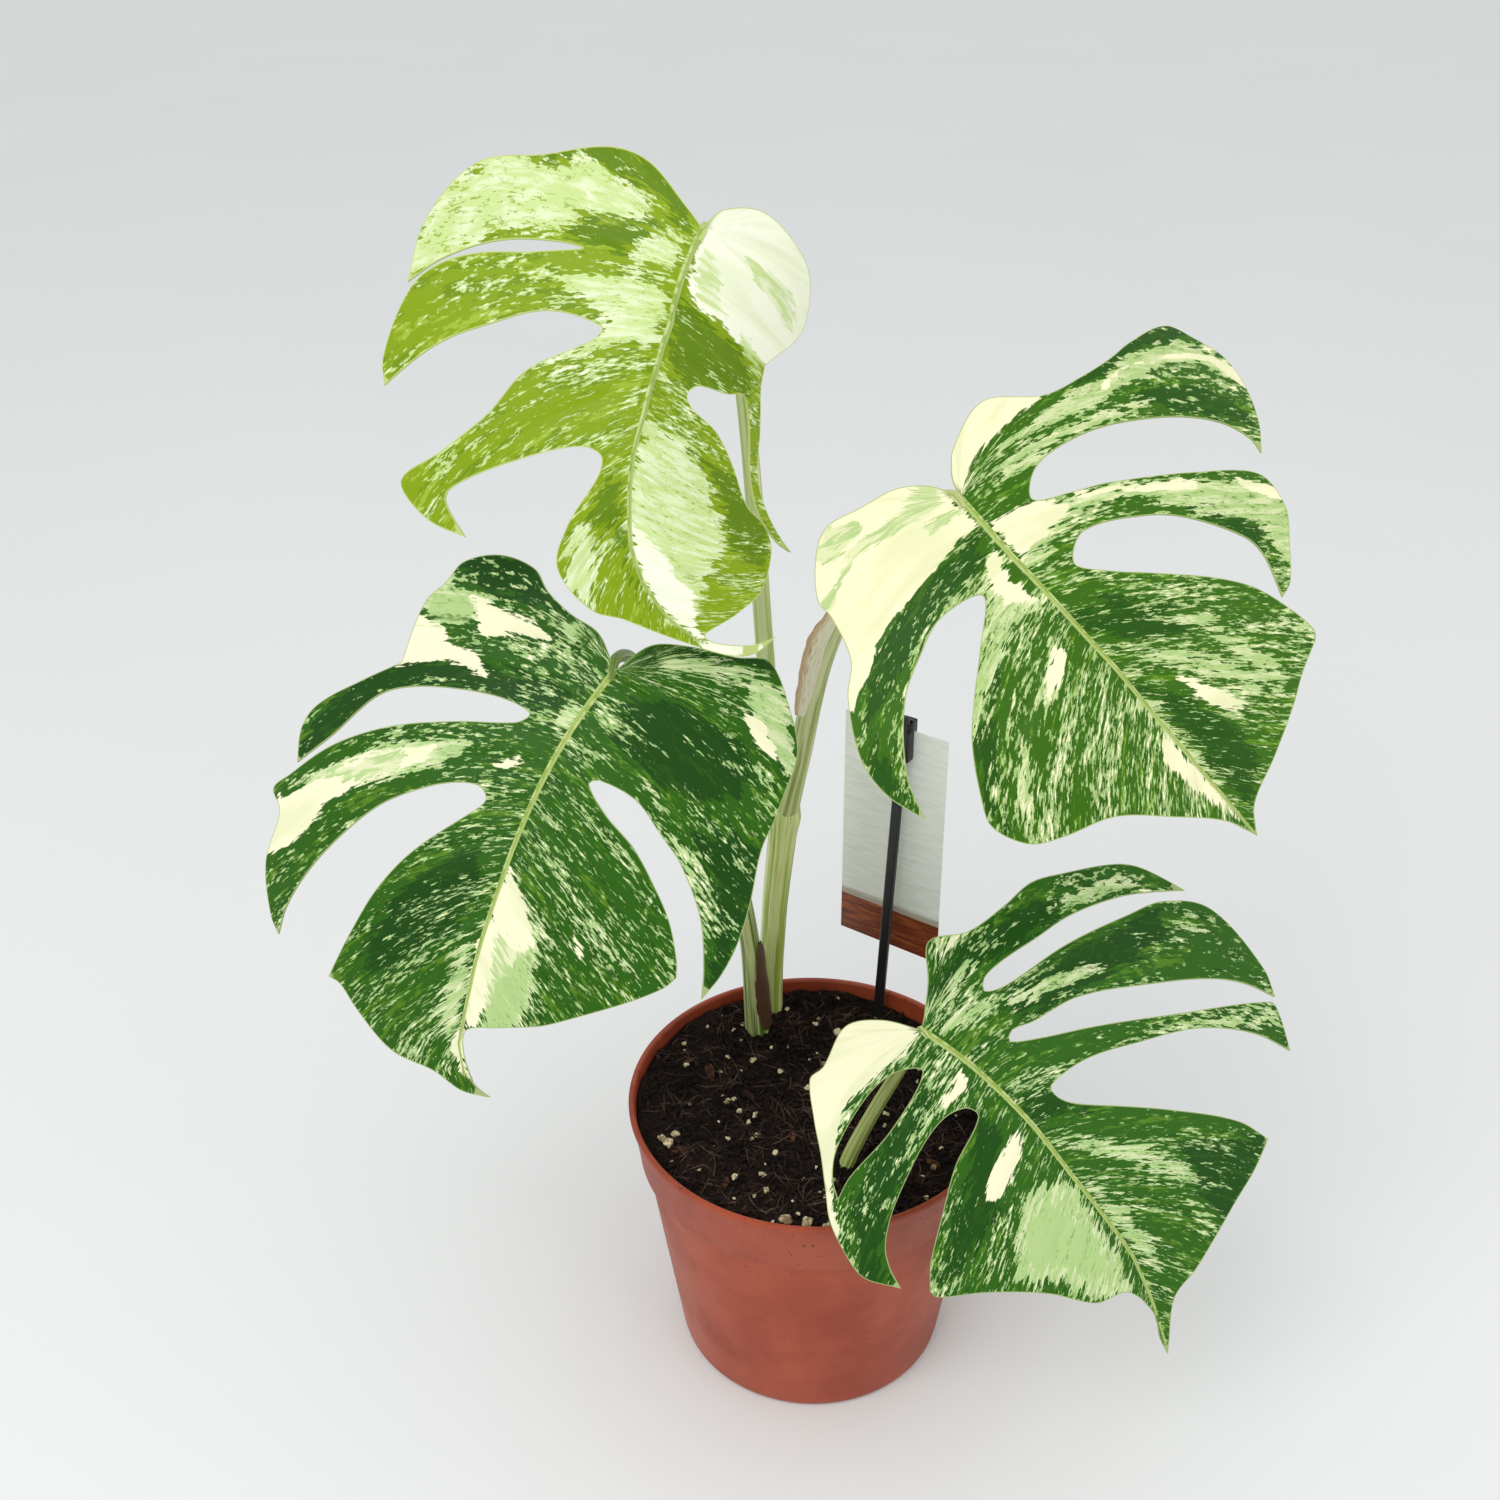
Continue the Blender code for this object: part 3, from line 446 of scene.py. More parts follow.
# ---------------------------------------------------------------- small helpers


def linear(code):
    """An sRGB hex colour as linear RGBA."""
    values = [int(code[place : place + 2], 16) / 255.0 for place in (1, 3, 5)]
    return (
        *(value / 12.92 if value <= 0.04045 else ((value + 0.055) / 1.055) ** 2.4 for value in values), 1.0,
    )


def add_node(tree, kind, settings=None, links=None):
    """One node of a kind, with its settings by name, and its inputs linked or set by socket."""
    made = tree.nodes.new(kind)
    for name, value in (settings or {}).items():
        setattr(made, name, value)
    for socket, value in (links or {}).items():
        if isinstance(value, bpy.types.NodeSocket):
            tree.links.new(value, made.inputs[socket])
        else:
            made.inputs[socket].default_value = value
    return made


def math_node(tree, operation, first, second=0.0, third=0.0, clamp=False):
    return add_node(
        tree, "ShaderNodeMath", {"operation": operation, "use_clamp": clamp},
        {0: first, 1: second, 2: third}
    ).outputs[0]


def new_material(name):
    made = bpy.data.materials.new(name)
    made.use_nodes = True
    return made, made.node_tree, made.node_tree.nodes["Principled BSDF"]


def deselect_all():
    if bpy.context.mode != "OBJECT":
        bpy.ops.object.mode_set(mode="OBJECT")
    bpy.ops.object.select_all(action="DESELECT")


def make_active(item):
    deselect_all()
    item.select_set(True)
    bpy.context.view_layer.objects.active = item


def smooth(item, angle=35.0):
    make_active(item)
    bpy.ops.object.shade_smooth_by_angle(angle=math.radians(angle))


def settle(item, look, slot, *cad_nodes):
    """Gives a finished piece its material and its body, and hides the CAD nodes it stands for; its slot is
    not used.
    """
    if look:
        item.data.materials.clear()
        for one in look if isinstance(look, (list, tuple)) else [look]:
            item.data.materials.append(one)
    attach(item, "root")
    if cad_nodes:
        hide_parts(*cad_nodes)


def object_from(name, verts, faces):
    mesh = bpy.data.meshes.new(name)
    mesh.from_pydata([tuple(vert) for vert in verts], [], faces)
    mesh.update()
    item = bpy.data.objects.new(name, mesh)
    bpy.context.scene.collection.objects.link(item)
    return item


def point_attribute(mesh, name, kind, values):
    layer = mesh.attributes.new(name, kind, "POINT")
    flat = np.asarray(values, np.float32).ravel()
    layer.data.foreach_set("vector" if kind == "FLOAT_VECTOR" else "value", flat)


# ---------------------------------------------------------------- leaf shape


def smooth_outline(points, step=2.0):
    """A smooth closed line through the points, with a corner at each point marked TIP."""
    places = [Vector(point[:2]) for point in points]
    corner = [len(point) > 2 for point in points]
    count = len(points)
    line = []
    for index in range(count):
        before, start = places[index - 1], places[index]
        end, after = places[(index + 1) % count], places[(index + 2) % count]
        span = (end - start).length
        leave = end - start if corner[index] else (end - before) * span / (span + (start - before).length)
        reach = end - start
        if not corner[(index + 1) % count]:
            reach = (after - start) * span / (span + (after - end).length)
        steps = max(2, round(span / step))
        for part in range(steps):
            t = part / steps
            line.append(
                start * (2 * t**3 - 3 * t**2 + 1)
                + leave * (t**3 - 2 * t**2 + t)
                + end * (3 * t**2 - 2 * t**3)
                + reach * (t**3 - t**2)
            )
    return np.array(line)


def edge_distance(places, line):
    """Signed distance from each place to a closed line, positive inside."""
    start = line
    end = np.roll(line, -1, axis=0)
    run = end - start
    best = np.full(len(places), 1e9)
    odd = np.zeros(len(places), bool)
    for first, second, step in zip(start, end, run):
        length = max(float(step @ step), 1e-12)
        part = np.clip(((places - first) @ step) / length, 0.0, 1.0)
        best = np.minimum(best, np.linalg.norm(places - first - part[:, None] * step, axis=1))
        if first[1] != second[1]:
            spans = (first[1] > places[:, 1]) != (second[1] > places[:, 1])
            crossing = (second[0] - first[0]) * (
                places[:, 1] - first[1]
            ) / (second[1] - first[1]) + first[0]
            odd ^= spans & (places[:, 0] < crossing)
    return np.where(odd, best, -best)


def patch_distance(places, patches):
    """Signed distance to the nearest of several patches, positive inside one."""
    found = np.full(len(places), -60.0)
    for patch in patches:
        found = np.maximum(found, edge_distance(places, np.array(patch, float)))
    return found


def turned_about(vector, axis, angle):
    """A vector turned about a unit axis by each angle."""
    cos, sin = np.cos(angle)[:, None], np.sin(angle)[:, None]
    return vector * cos + np.cross(axis, vector) * sin + axis * (axis @ vector) * (1.0 - cos)


def leaf_surface(leaf, u, v, lift=0.0):
    """Places on a leaf, lift mm above its upper face, for arrays of mm along and across the midrib."""
    along = np.array(leaf["along"]) / np.linalg.norm(leaf["along"])
    face = np.array(leaf["face"]) - along * (np.array(leaf["face"]) @ along)
    face /= np.linalg.norm(face)
    side = np.cross(face, along)
    turn = math.hypot(leaf["bow"], leaf["swing"])
    towards = (side * leaf["swing"] - face * leaf["bow"]) / turn
    rate = turn / leaf["length"]
    angle = rate * u
    rib = np.array(leaf["junction"]) + (
        np.sin(angle)[:, None] * along + (1.0 - np.cos(angle))[:, None] * towards
    ) / rate
    axis = np.cross(along, towards)
    sideways, facing = turned_about(side, axis, angle), turned_about(face, axis, angle)
    fold = np.where(v > 0, leaf["right"][0], leaf["left"][0])
    curl = np.where(v > 0, leaf["right"][1], leaf["left"][1])
    hand = np.where(v > 0, 1.0, -1.0)
    reach = np.abs(v)
    tilt = fold + curl * reach
    outward = (np.sin(tilt) - np.sin(fold)) / curl
    drop = (np.cos(tilt) - np.cos(fold)) / curl
    blade = rib + sideways * (hand * outward)[:, None] + facing * drop[:, None]
    normal = facing * np.cos(tilt)[:, None] + sideways * (hand * np.sin(tilt))[:, None]
    return blade + normal * np.broadcast_to(lift, u.shape)[:, None]


def midrib_across(leaf, u):
    line = np.array(leaf["midrib"], float)
    return np.interp(u, line[:, 0], line[:, 1])


def vein_flow(leaf, u, v):
    """(which, along): each place's vein, by its start on the midrib, and the way out along it, in mm."""
    base, gain, curve = leaf["veins"]
    across = np.abs(v - midrib_across(leaf, u))
    low, high = np.full(len(u), -160.0), np.full(len(u), 260.0)
    for _ in range(36):
        middle = 0.5 * (low + high)
        slope = base + np.where(middle > 0.0, gain, 0.03) * middle
        under = np.maximum(middle, 0.0) + slope * across + curve * across**2 < u
        low, high = np.where(under, middle, low), np.where(under, high, middle)
    slope = base + np.where(low > 0.0, gain, 0.03) * low + curve * across
    return low, across * np.sqrt(1.0 + slope**2)


def fine_blade(leaf, spacing):
    """Flat points, triangles and outline loops of a blade, with rows of points along the midrib."""
    lines = [smooth_outline(points) for points in [leaf["outline"], *leaf["holes"]]]
    rows = np.arange(-60.0, 190.0, spacing * 0.866)
    grid = []
    for index, row in enumerate(rows):
        columns = np.arange(-130.0, 160.0, spacing) + (0.5 * spacing if index % 2 else 0.0)
        grid.append(np.stack([np.full(len(columns), row), columns], 1))
    grid = np.concatenate(grid)
    from_rib = np.abs(grid[:, 1] - midrib_across(leaf, grid[:, 0]))
    grid = grid[(from_rib > 3.4) | (grid[:, 0] < 0.0)]
    rib_u = np.arange(0.4, leaf["midrib"][-1][0] - 0.5, 1.3)
    offsets = (-2.6, -1.7, -0.9, 0.0, 0.9, 1.7, 2.6)
    rib = [np.stack([rib_u, midrib_across(leaf, rib_u) + offset], 1) for offset in offsets]
    inner = np.concatenate([grid, *rib])
    edge = edge_distance(inner, lines[0])
    for hole in lines[1:]:
        edge = np.minimum(edge, -edge_distance(inner, hole))
    inner = inner[edge > 0.55 * spacing]
    points = np.concatenate([*lines, inner])
    edges = []
    first = 0
    for line in lines:
        edges += [(first + index, first + (index + 1) % len(line)) for index in range(len(line))]
        first += len(line)
    flat, _, triangles = delaunay_2d_cdt([Vector(point) for point in points], edges, [], 0, 1e-4, False)[:3]
    flat = np.array([tuple(point) for point in flat])
    triangles = np.array([tuple(triangle) for triangle in triangles])
    centres = flat[triangles].mean(1)
    keep = edge_distance(centres, lines[0]) > 0.0
    for hole in lines[1:]:
        keep &= edge_distance(centres, hole) < 0.0
    # Drawn in by a hair, so that the fine edge stays within the plain solid's.
    middle = flat.mean(0)
    shrink = 0.9988
    return middle + (flat - middle) * shrink, triangles[keep], [
        middle + (line - middle) * shrink
        for line in lines
    ]


def leaf_relief(leaf, flat, lines):
    """Height of each point below the upper face, in mm: sunk veins, quilted panels and the raised midrib."""
    u, v = flat[:, 0], flat[:, 1]
    edge = edge_distance(flat, lines[0])
    for hole in lines[1:]:
        edge = np.minimum(edge, -edge_distance(flat, hole))
    which, along = vein_flow(leaf, u, v)
    phase = which / 15.0
    groove = np.exp(-((np.abs(phase - np.round(phase)) / 0.13) ** 2)) * np.clip(along / 8.0, 0.0, 1.0)
    groove *= np.clip(edge / 10.0, 0.0, 1.0) * np.exp(-((along / 95.0) ** 2))
    ripple = np.sin(which / 6.0 + along / 17.0) * 0.25 * np.clip(edge / 14.0, 0.0, 1.0)
    across = np.where(u > 0.0, np.abs(v - midrib_across(leaf, u)), 99.0)
    width = 1.5 - 0.9 * np.clip(u / leaf["length"], 0.0, 1.0)
    ridge = np.clip(1.0 - (across / width) ** 2, 0.0, 1.0)
    trough = np.exp(-(((across - 1.6 * width) / (0.8 * width)) ** 2))
    relief = -0.35 - 1.1 * groove + ripple - 0.25 * trough + 0.75 * ridge * (1.0 - 0.5 * u / leaf["length"])
    return np.minimum(relief, 0.35), edge, which, along, groove, across


def build_blade(key, leaf, spacing, thickness):
    flat, triangles, lines = fine_blade(leaf, spacing)
    relief, edge, which, along, groove, across = leaf_relief(leaf, flat, lines)
    places = leaf_surface(leaf, flat[:, 0], flat[:, 1], relief) * MM
    corner = places[triangles[:, 0]]
    facing = np.cross(places[triangles[:, 1]] - corner, places[triangles[:, 2]] - corner).sum(0)
    if facing @ np.array(leaf["face"]) < 0.0:
        triangles = triangles[:, ::-1]
    blade = object_from("leaf_blade_" + key, places, triangles.tolist())
    mesh = blade.data
    hand = np.where(flat[:, 1] > midrib_across(leaf, flat[:, 0]), 1.0, -1.0)
    point_attribute(
        mesh, "flow", "FLOAT_VECTOR",
        np.stack([which + 400.0 * (hand > 0), along, flat[:, 0] * 0 + leaf["seed"]], 1),
    )
    point_attribute(
        mesh, "flat", "FLOAT_VECTOR", np.stack([flat[:, 0], flat[:, 1], flat[:, 0] * 0 + leaf["seed"]], 1),
    )
    point_attribute(mesh, "cream", "FLOAT", patch_distance(flat, leaf["cream"]))
    point_attribute(mesh, "mint", "FLOAT", patch_distance(flat, leaf["mint"]))
    point_attribute(mesh, "blotch", "FLOAT", patch_distance(flat, leaf["blotch"]))
    point_attribute(mesh, "deep", "FLOAT", patch_distance(flat, leaf["deep"]))
    point_attribute(mesh, "groove", "FLOAT", groove)
    point_attribute(
        mesh, "rib", "FLOAT", across / (1.5 - 0.9 * np.clip(flat[:, 0] / leaf["length"], 0.0, 1.0)),
    )
    point_attribute(mesh, "edge", "FLOAT", edge)
    thicken = blade.modifiers.new("thickness", "SOLIDIFY")
    thicken.thickness = thickness * MM
    thicken.offset = -1.0
    thicken.material_offset = 1
    thicken.material_offset_rim = 2
    make_active(blade)
    bpy.ops.object.modifier_apply(modifier=thicken.name)
    smooth(blade, 50.0)
    return blade


# ---------------------------------------------------------------- stems


def smooth_path(points, radii, step):
    """Places and radii along a smooth open path, about step mm apart."""
    places = [Vector(point) for point in points]
    line = []
    for index in range(len(places) - 1):
        before = places[max(index - 1, 0)]
        start, end = places[index], places[index + 1]
        after = places[min(index + 2, len(places) - 1)]
        span = (end - start).length
        leave = (end - before) * span / max(span + (start - before).length, 1e-6)
        reach = (after - start) * span / max(span + (after - end).length, 1e-6)
        steps = max(2, round(span / step))
        last = index == len(places) - 2
        for part in range(steps + (1 if last else 0)):
            t = part / steps
            place = (
                start * (2 * t**3 - 3 * t**2 + 1) + leave * (t**3 - 2 * t**2 + t)
                + end * (3 * t**2 - 2 * t**3) + reach * (t**3 - t**2)
            )
            line.append((place, radii[index] + (radii[index + 1] - radii[index]) * t))
    return line


def loft(name, line, sides, shape):
    """A closed tube along (place, radius) pairs, with a point attribute of each point's turn and run.
    shape(angle, distance) scales the radius.
    """
    verts, faces, turns, runs = [], [], [], []
    tangent = (line[1][0] - line[0][0]).normalized()
    across = tangent.orthogonal().normalized()
    distance = 0.0
    for index, (place, radius) in enumerate(line):
        ahead = line[min(index + 1, len(line) - 1)][0] - line[max(index - 1, 0)][0]
        ahead.normalize()
        across = (across - ahead * across.dot(ahead)).normalized()
        beside = ahead.cross(across)
        if index:
            distance += (place - line[index - 1][0]).length
        for side in range(sides):
            angle = 2.0 * math.pi * side / sides
            reach = radius * shape(angle, distance)
            verts.append((place + across * math.cos(angle) * reach + beside * math.sin(angle) * reach) * MM)
            turns.append(side / sides)
            runs.append(distance)
    rings = len(line)
    for ring in range(rings - 1):
        for side in range(sides):
            after = (side + 1) % sides
            faces.append(
                (
                    ring * sides + side, ring * sides + after, (ring + 1) * sides + after,
                    (ring + 1) * sides + side,
                )
            )
    faces.append(tuple(reversed(range(sides))))
    faces.append(tuple(range((rings - 1) * sides, rings * sides)))
    item = object_from(name, verts, faces)
    point_attribute(
        item.data, "turn", "FLOAT_VECTOR",
        np.stack(
            [np.cos(2 * np.pi * np.array(turns)), np.sin(2 * np.pi * np.array(turns)), np.array(runs)], 1,
        ),
    )
    return item


# ---------------------------------------------------------------- materials


def streak_noise(tree, flow, across, along, shift, detail=2.0):
    """Noise in streaks that follow the veins. across and along are the streak's width and length in mm."""
    scaled = add_node(
        tree, "ShaderNodeVectorMath", {"operation": "MULTIPLY"},
        {0: flow, 1: (1.0 / across, 1.0 / along, 1.0)},
    )
    moved = add_node(
        tree, "ShaderNodeVectorMath", {"operation": "ADD"},
        {0: scaled.outputs[0], 1: (shift, shift * 1.7, shift)},
    )
    made = add_node(
        tree, "ShaderNodeTexNoise", {"noise_dimensions": "3D"},
        {"Vector": moved.outputs[0], "Scale": 1.0, "Detail": detail, "Roughness": 0.6, "Distortion": 0.25},
    )
    return made.outputs["Fac"]


def step_mask(tree, value, low, high):
    """0 below low, 1 above high, and smooth between."""
    made = add_node(
        tree, "ShaderNodeMapRange", {"interpolation_type": "SMOOTHSTEP"},
        {"Value": value, "From Min": low, "From Max": high, "To Min": 0.0, "To Max": 1.0},
    )
    return made.outputs[0]


def blend_colour(tree, amount, first, second):
    made = add_node(tree, "ShaderNodeMix", {"data_type": "RGBA"}, {0: amount, 6: first, 7: second})
    return made.outputs[2]


def patch_mask(tree, name, coarse, fine, coarse_mm, fine_mm):
    """A patch whose border breaks into streaks along the veins."""
    distance = add_node(tree, "ShaderNodeAttribute", {"attribute_name": name}).outputs["Fac"]
    jag = math_node(tree, "MULTIPLY_ADD", math_node(tree, "SUBTRACT", coarse, 0.5), coarse_mm, distance)
    jag = math_node(tree, "MULTIPLY_ADD", math_node(tree, "SUBTRACT", fine, 0.5), fine_mm, jag)
    return step_mask(tree, jag, -0.35, 0.35)


def leaf_material(name, leaf, under=False):
    """Living monstera blade: a waxy cuticle over green, with cream and mint sectors along the veins."""
    made, tree, shader = new_material(name)
    main, deep, mint, cream, light = (linear(code) for code in leaf["tones"])
    flow = add_node(tree, "ShaderNodeAttribute", {"attribute_name": "flow"}).outputs["Vector"]
    flat = add_node(tree, "ShaderNodeAttribute", {"attribute_name": "flat"}).outputs["Vector"]
    broad = streak_noise(tree, flow, 11.0, 60.0, 0.0, 2.0)
    coarse = streak_noise(tree, flow, 3.2, 34.0, 7.3, 3.0)
    fine = streak_noise(tree, flow, 1.0, 5.5, 13.1, 3.0)
    hair = streak_noise(tree, flow, 0.45, 2.6, 21.7, 2.0)
    other = streak_noise(tree, flow, 2.0, 16.0, 31.9, 3.0)

    # Two greens interlock in long blotches.
    deep_in = patch_mask(tree, "deep", other, fine, 22.0, 9.0)
    drift = step_mask(
        tree, math_node(tree, "MULTIPLY_ADD", broad, 0.5, math_node(tree, "MULTIPLY", other, 0.5)), 0.50,
        0.545,
    )
    deepness = math_node(
        tree, "MAXIMUM", math_node(tree, "MULTIPLY", deep_in, 0.9),
        math_node(tree, "MULTIPLY", drift, 0.55),
    )
    colour = blend_colour(tree, deepness, main, deep)
    pale_green = step_mask(
        tree, math_node(tree, "MULTIPLY_ADD", coarse, 0.55, math_node(tree, "MULTIPLY", fine, 0.45)), 0.53,
        0.58,
    )
    pale_green = math_node(
        tree, "MULTIPLY", pale_green,
        math_node(tree, "SUBTRACT", 0.75, math_node(tree, "MULTIPLY", deep_in, 0.65)),
    )
    colour = blend_colour(tree, pale_green, colour, light)

    # Flecks a millimetre wide and a few millimetres long, crowded in some bands and rare in others.
    fleck = math_node(tree, "MULTIPLY_ADD", fine, 0.55, math_node(tree, "MULTIPLY", hair, 0.30))
    fleck = math_node(
        tree, "MULTIPLY_ADD", other, 0.42, math_node(tree, "MULTIPLY_ADD", broad, 0.42, fleck),
    )
    fleck = math_node(tree, "MULTIPLY_ADD", deep_in, -0.045, fleck)
    limit = leaf["streaks"]
    colour = blend_colour(
        tree, math_node(tree, "MULTIPLY", step_mask(tree, fleck, limit + 0.034, limit + 0.060), 0.85),
        colour, mint,
    )
    colour = blend_colour(tree, step_mask(tree, fleck, limit + 0.118, limit + 0.142), colour, cream)

    mint_in = patch_mask(tree, "mint", coarse, fine, 20.0, 16.0)
    holes = math_node(
        tree, "SUBTRACT", 1.0,
        step_mask(
            tree, math_node(tree, "MULTIPLY_ADD", hair, 0.4, math_node(tree, "MULTIPLY", fine, 0.6)), 0.548,
            0.575,
        ),
    )
    mint_in = math_node(tree, "MULTIPLY", mint_in, math_node(tree, "MULTIPLY_ADD", holes, 0.8, 0.2))
    mint_tone = blend_colour(
        tree, step_mask(tree, other, 0.44, 0.60), mint, blend_colour(tree, 0.45, mint, cream),
    )
    colour = blend_colour(tree, mint_in, colour, mint_tone)
    cream_in = patch_mask(tree, "cream", coarse, fine, 9.0, 6.0)
    cream_tone = blend_colour(
        tree, math_node(tree, "MULTIPLY", step_mask(tree, broad, 0.45, 0.65), 0.25), cream, mint,
    )
    colour = blend_colour(tree, cream_in, colour, cream_tone)

    blotch_in = patch_mask(tree, "blotch", coarse, fine, 12.0, 9.0)
    blotch_in = math_node(
        tree, "MULTIPLY", blotch_in,
        math_node(tree, "MULTIPLY_ADD", step_mask(tree, other, 0.42, 0.55), 0.55, 0.35),
    )
    colour = blend_colour(tree, blotch_in, colour, mint)

    # Veins: a pale line in each groove, and a pale midrib with a darker line down its middle.
    groove = add_node(tree, "ShaderNodeAttribute", {"attribute_name": "groove"}).outputs["Fac"]
    colour = blend_colour(
        tree, math_node(tree, "MULTIPLY", step_mask(tree, groove, 0.80, 1.0), 0.22), colour, light,
    )
    rib = add_node(tree, "ShaderNodeAttribute", {"attribute_name": "rib"}).outputs["Fac"]
    rib_pale = blend_colour(tree, step_mask(tree, coarse, 0.42, 0.60), linear("#B9C77E"), linear("#8FA94C"))
    colour = blend_colour(
        tree, math_node(tree, "SUBTRACT", 1.0, step_mask(tree, rib, 0.75, 1.05)), colour, rib_pale,
    )
    middle = math_node(tree, "SUBTRACT", 1.0, step_mask(tree, rib, 0.10, 0.28))
    colour = blend_colour(tree, math_node(tree, "MULTIPLY", middle, 0.45), colour, linear("#6E8C2E"))

    # The margin is a hair line of thin pale tissue.
    edge = add_node(tree, "ShaderNodeAttribute", {"attribute_name": "edge"}).outputs["Fac"]
    colour = blend_colour(
        tree, math_node(tree, "SUBTRACT", 1.0, step_mask(tree, edge, 0.10, 0.55)), colour,
        blend_colour(tree, 0.5, light, linear("#C9CF98")),
    )
    if under:
        colour = blend_colour(tree, 0.42, colour, linear("#A9B791"))
    tree.links.new(colour, shader.inputs["Base Color"])
    gloss = step_mask(tree, coarse, 0.2, 0.8)
    rough = add_node(
        tree, "ShaderNodeMapRange", {},
        {"Value": gloss, "To Min": 0.50 if under else 0.36, "To Max": 0.62 if under else 0.50},
    )
    tree.links.new(rough.outputs[0], shader.inputs["Roughness"])
    shader.inputs["IOR"].default_value = 1.42
    shader.inputs["Specular IOR Level"].default_value = 0.18
    pores = add_node(tree, "ShaderNodeTexNoise", {}, {"Vector": flat, "Scale": 1.5, "Detail": 3.0})
    height = math_node(
        tree, "MULTIPLY_ADD", hair, 0.6, math_node(tree, "MULTIPLY", pores.outputs["Fac"], 0.4),
    )
    bump = add_node(tree, "ShaderNodeBump", {}, {"Strength": 0.35, "Distance": 0.0004, "Height": height})
    tree.links.new(bump.outputs[0], shader.inputs["Normal"])
    return made


def rim_material():
    """Cut edge of the blade: thin tissue that lets light through, so it looks pale."""
    made, tree, shader = new_material("leaf_margin_tissue")
    flat = add_node(tree, "ShaderNodeAttribute", {"attribute_name": "flat"}).outputs["Vector"]
    mottle = add_node(tree, "ShaderNodeTexNoise", {}, {"Vector": flat, "Scale": 0.15, "Detail": 2.0})
    colour = blend_colour(
        tree, step_mask(tree, mottle.outputs["Fac"], 0.4, 0.6), linear("#C4CF8C"), linear("#8FAE4E"),
    )
    tree.links.new(colour, shader.inputs["Base Color"])
    shader.inputs["Roughness"].default_value = 0.5
    return made


def stem_material(name, pale="#D6DC96", green="#86A02E", dark="#57741A"):
    """Fresh monstera stem: smooth waxy skin, striped lengthwise in green and cream."""
    made, tree, shader = new_material(name)
    turn = add_node(tree, "ShaderNodeAttribute", {"attribute_name": "turn"}).outputs["Vector"]
    stripes = []
    for width, length, shift in ((1.9, 90.0, 0.0), (4.2, 55.0, 4.0), (9.0, 22.0, 9.0)):
        scaled = add_node(
            tree, "ShaderNodeVectorMath", {"operation": "MULTIPLY"},
            {0: turn, 1: (width, width, 1.0 / length)},
        )
        moved = add_node(
            tree, "ShaderNodeVectorMath", {"operation": "ADD"},
            {0: scaled.outputs[0], 1: (shift, shift, shift)},
        )
        stripes.append(
            add_node(
                tree, "ShaderNodeTexNoise", {}, {"Vector": moved.outputs[0], "Scale": 1.0, "Detail": 2.0},
            ).outputs["Fac"]
        )
    colour = blend_colour(tree, step_mask(tree, stripes[0], 0.40, 0.60), linear(green), linear(pale))
    colour = blend_colour(
        tree, math_node(tree, "MULTIPLY", step_mask(tree, stripes[1], 0.54, 0.62), 0.75), colour,
        linear(dark),
    )
    colour = blend_colour(
        tree, math_node(tree, "MULTIPLY", step_mask(tree, stripes[2], 0.52, 0.66), 0.35), colour,
        linear(green),
    )
    tree.links.new(colour, shader.inputs["Base Color"])
    shader.inputs["Roughness"].default_value = 0.38
    shader.inputs["IOR"].default_value = 1.42
    bump = add_node(tree, "ShaderNodeBump", {}, {"Strength": 0.3, "Distance": 0.0004, "Height": stripes[2]})
    tree.links.new(bump.outputs[0], shader.inputs["Normal"])
    return made


def scale_material(name, main, edge):
    """Papery leaf sheath: a thin dry scale with fine lengthwise fibres, browner at its edge."""
    made, tree, shader = new_material(name)
    turn = add_node(tree, "ShaderNodeAttribute", {"attribute_name": "scale"}).outputs["Vector"]
    scaled = add_node(
        tree, "ShaderNodeVectorMath", {"operation": "MULTIPLY"}, {0: turn, 1: (22.0, 1.6, 1.0)},
    )
    fibre = add_node(
        tree, "ShaderNodeTexNoise", {}, {"Vector": scaled.outputs[0], "Scale": 1.0, "Detail": 3.0},
    ).outputs["Fac"]
    across = add_node(tree, "ShaderNodeSeparateXYZ", {}, {0: turn}).outputs[0]
    brown = step_mask(
        tree, math_node(tree, "MULTIPLY_ADD", math_node(tree, "SUBTRACT", fibre, 0.5), 0.9, across), 0.55,
        0.95,
    )
    colour = blend_colour(tree, brown, linear(main), linear(edge))
    colour = blend_colour(
        tree, math_node(tree, "MULTIPLY", step_mask(tree, fibre, 0.50, 0.62), 0.4), colour, linear(edge),
    )
    tree.links.new(colour, shader.inputs["Base Color"])
    shader.inputs["Roughness"].default_value = 0.6
    bump = add_node(tree, "ShaderNodeBump", {}, {"Strength": 0.5, "Distance": 0.0003, "Height": fibre})
    tree.links.new(bump.outputs[0], shader.inputs["Normal"])
    return made


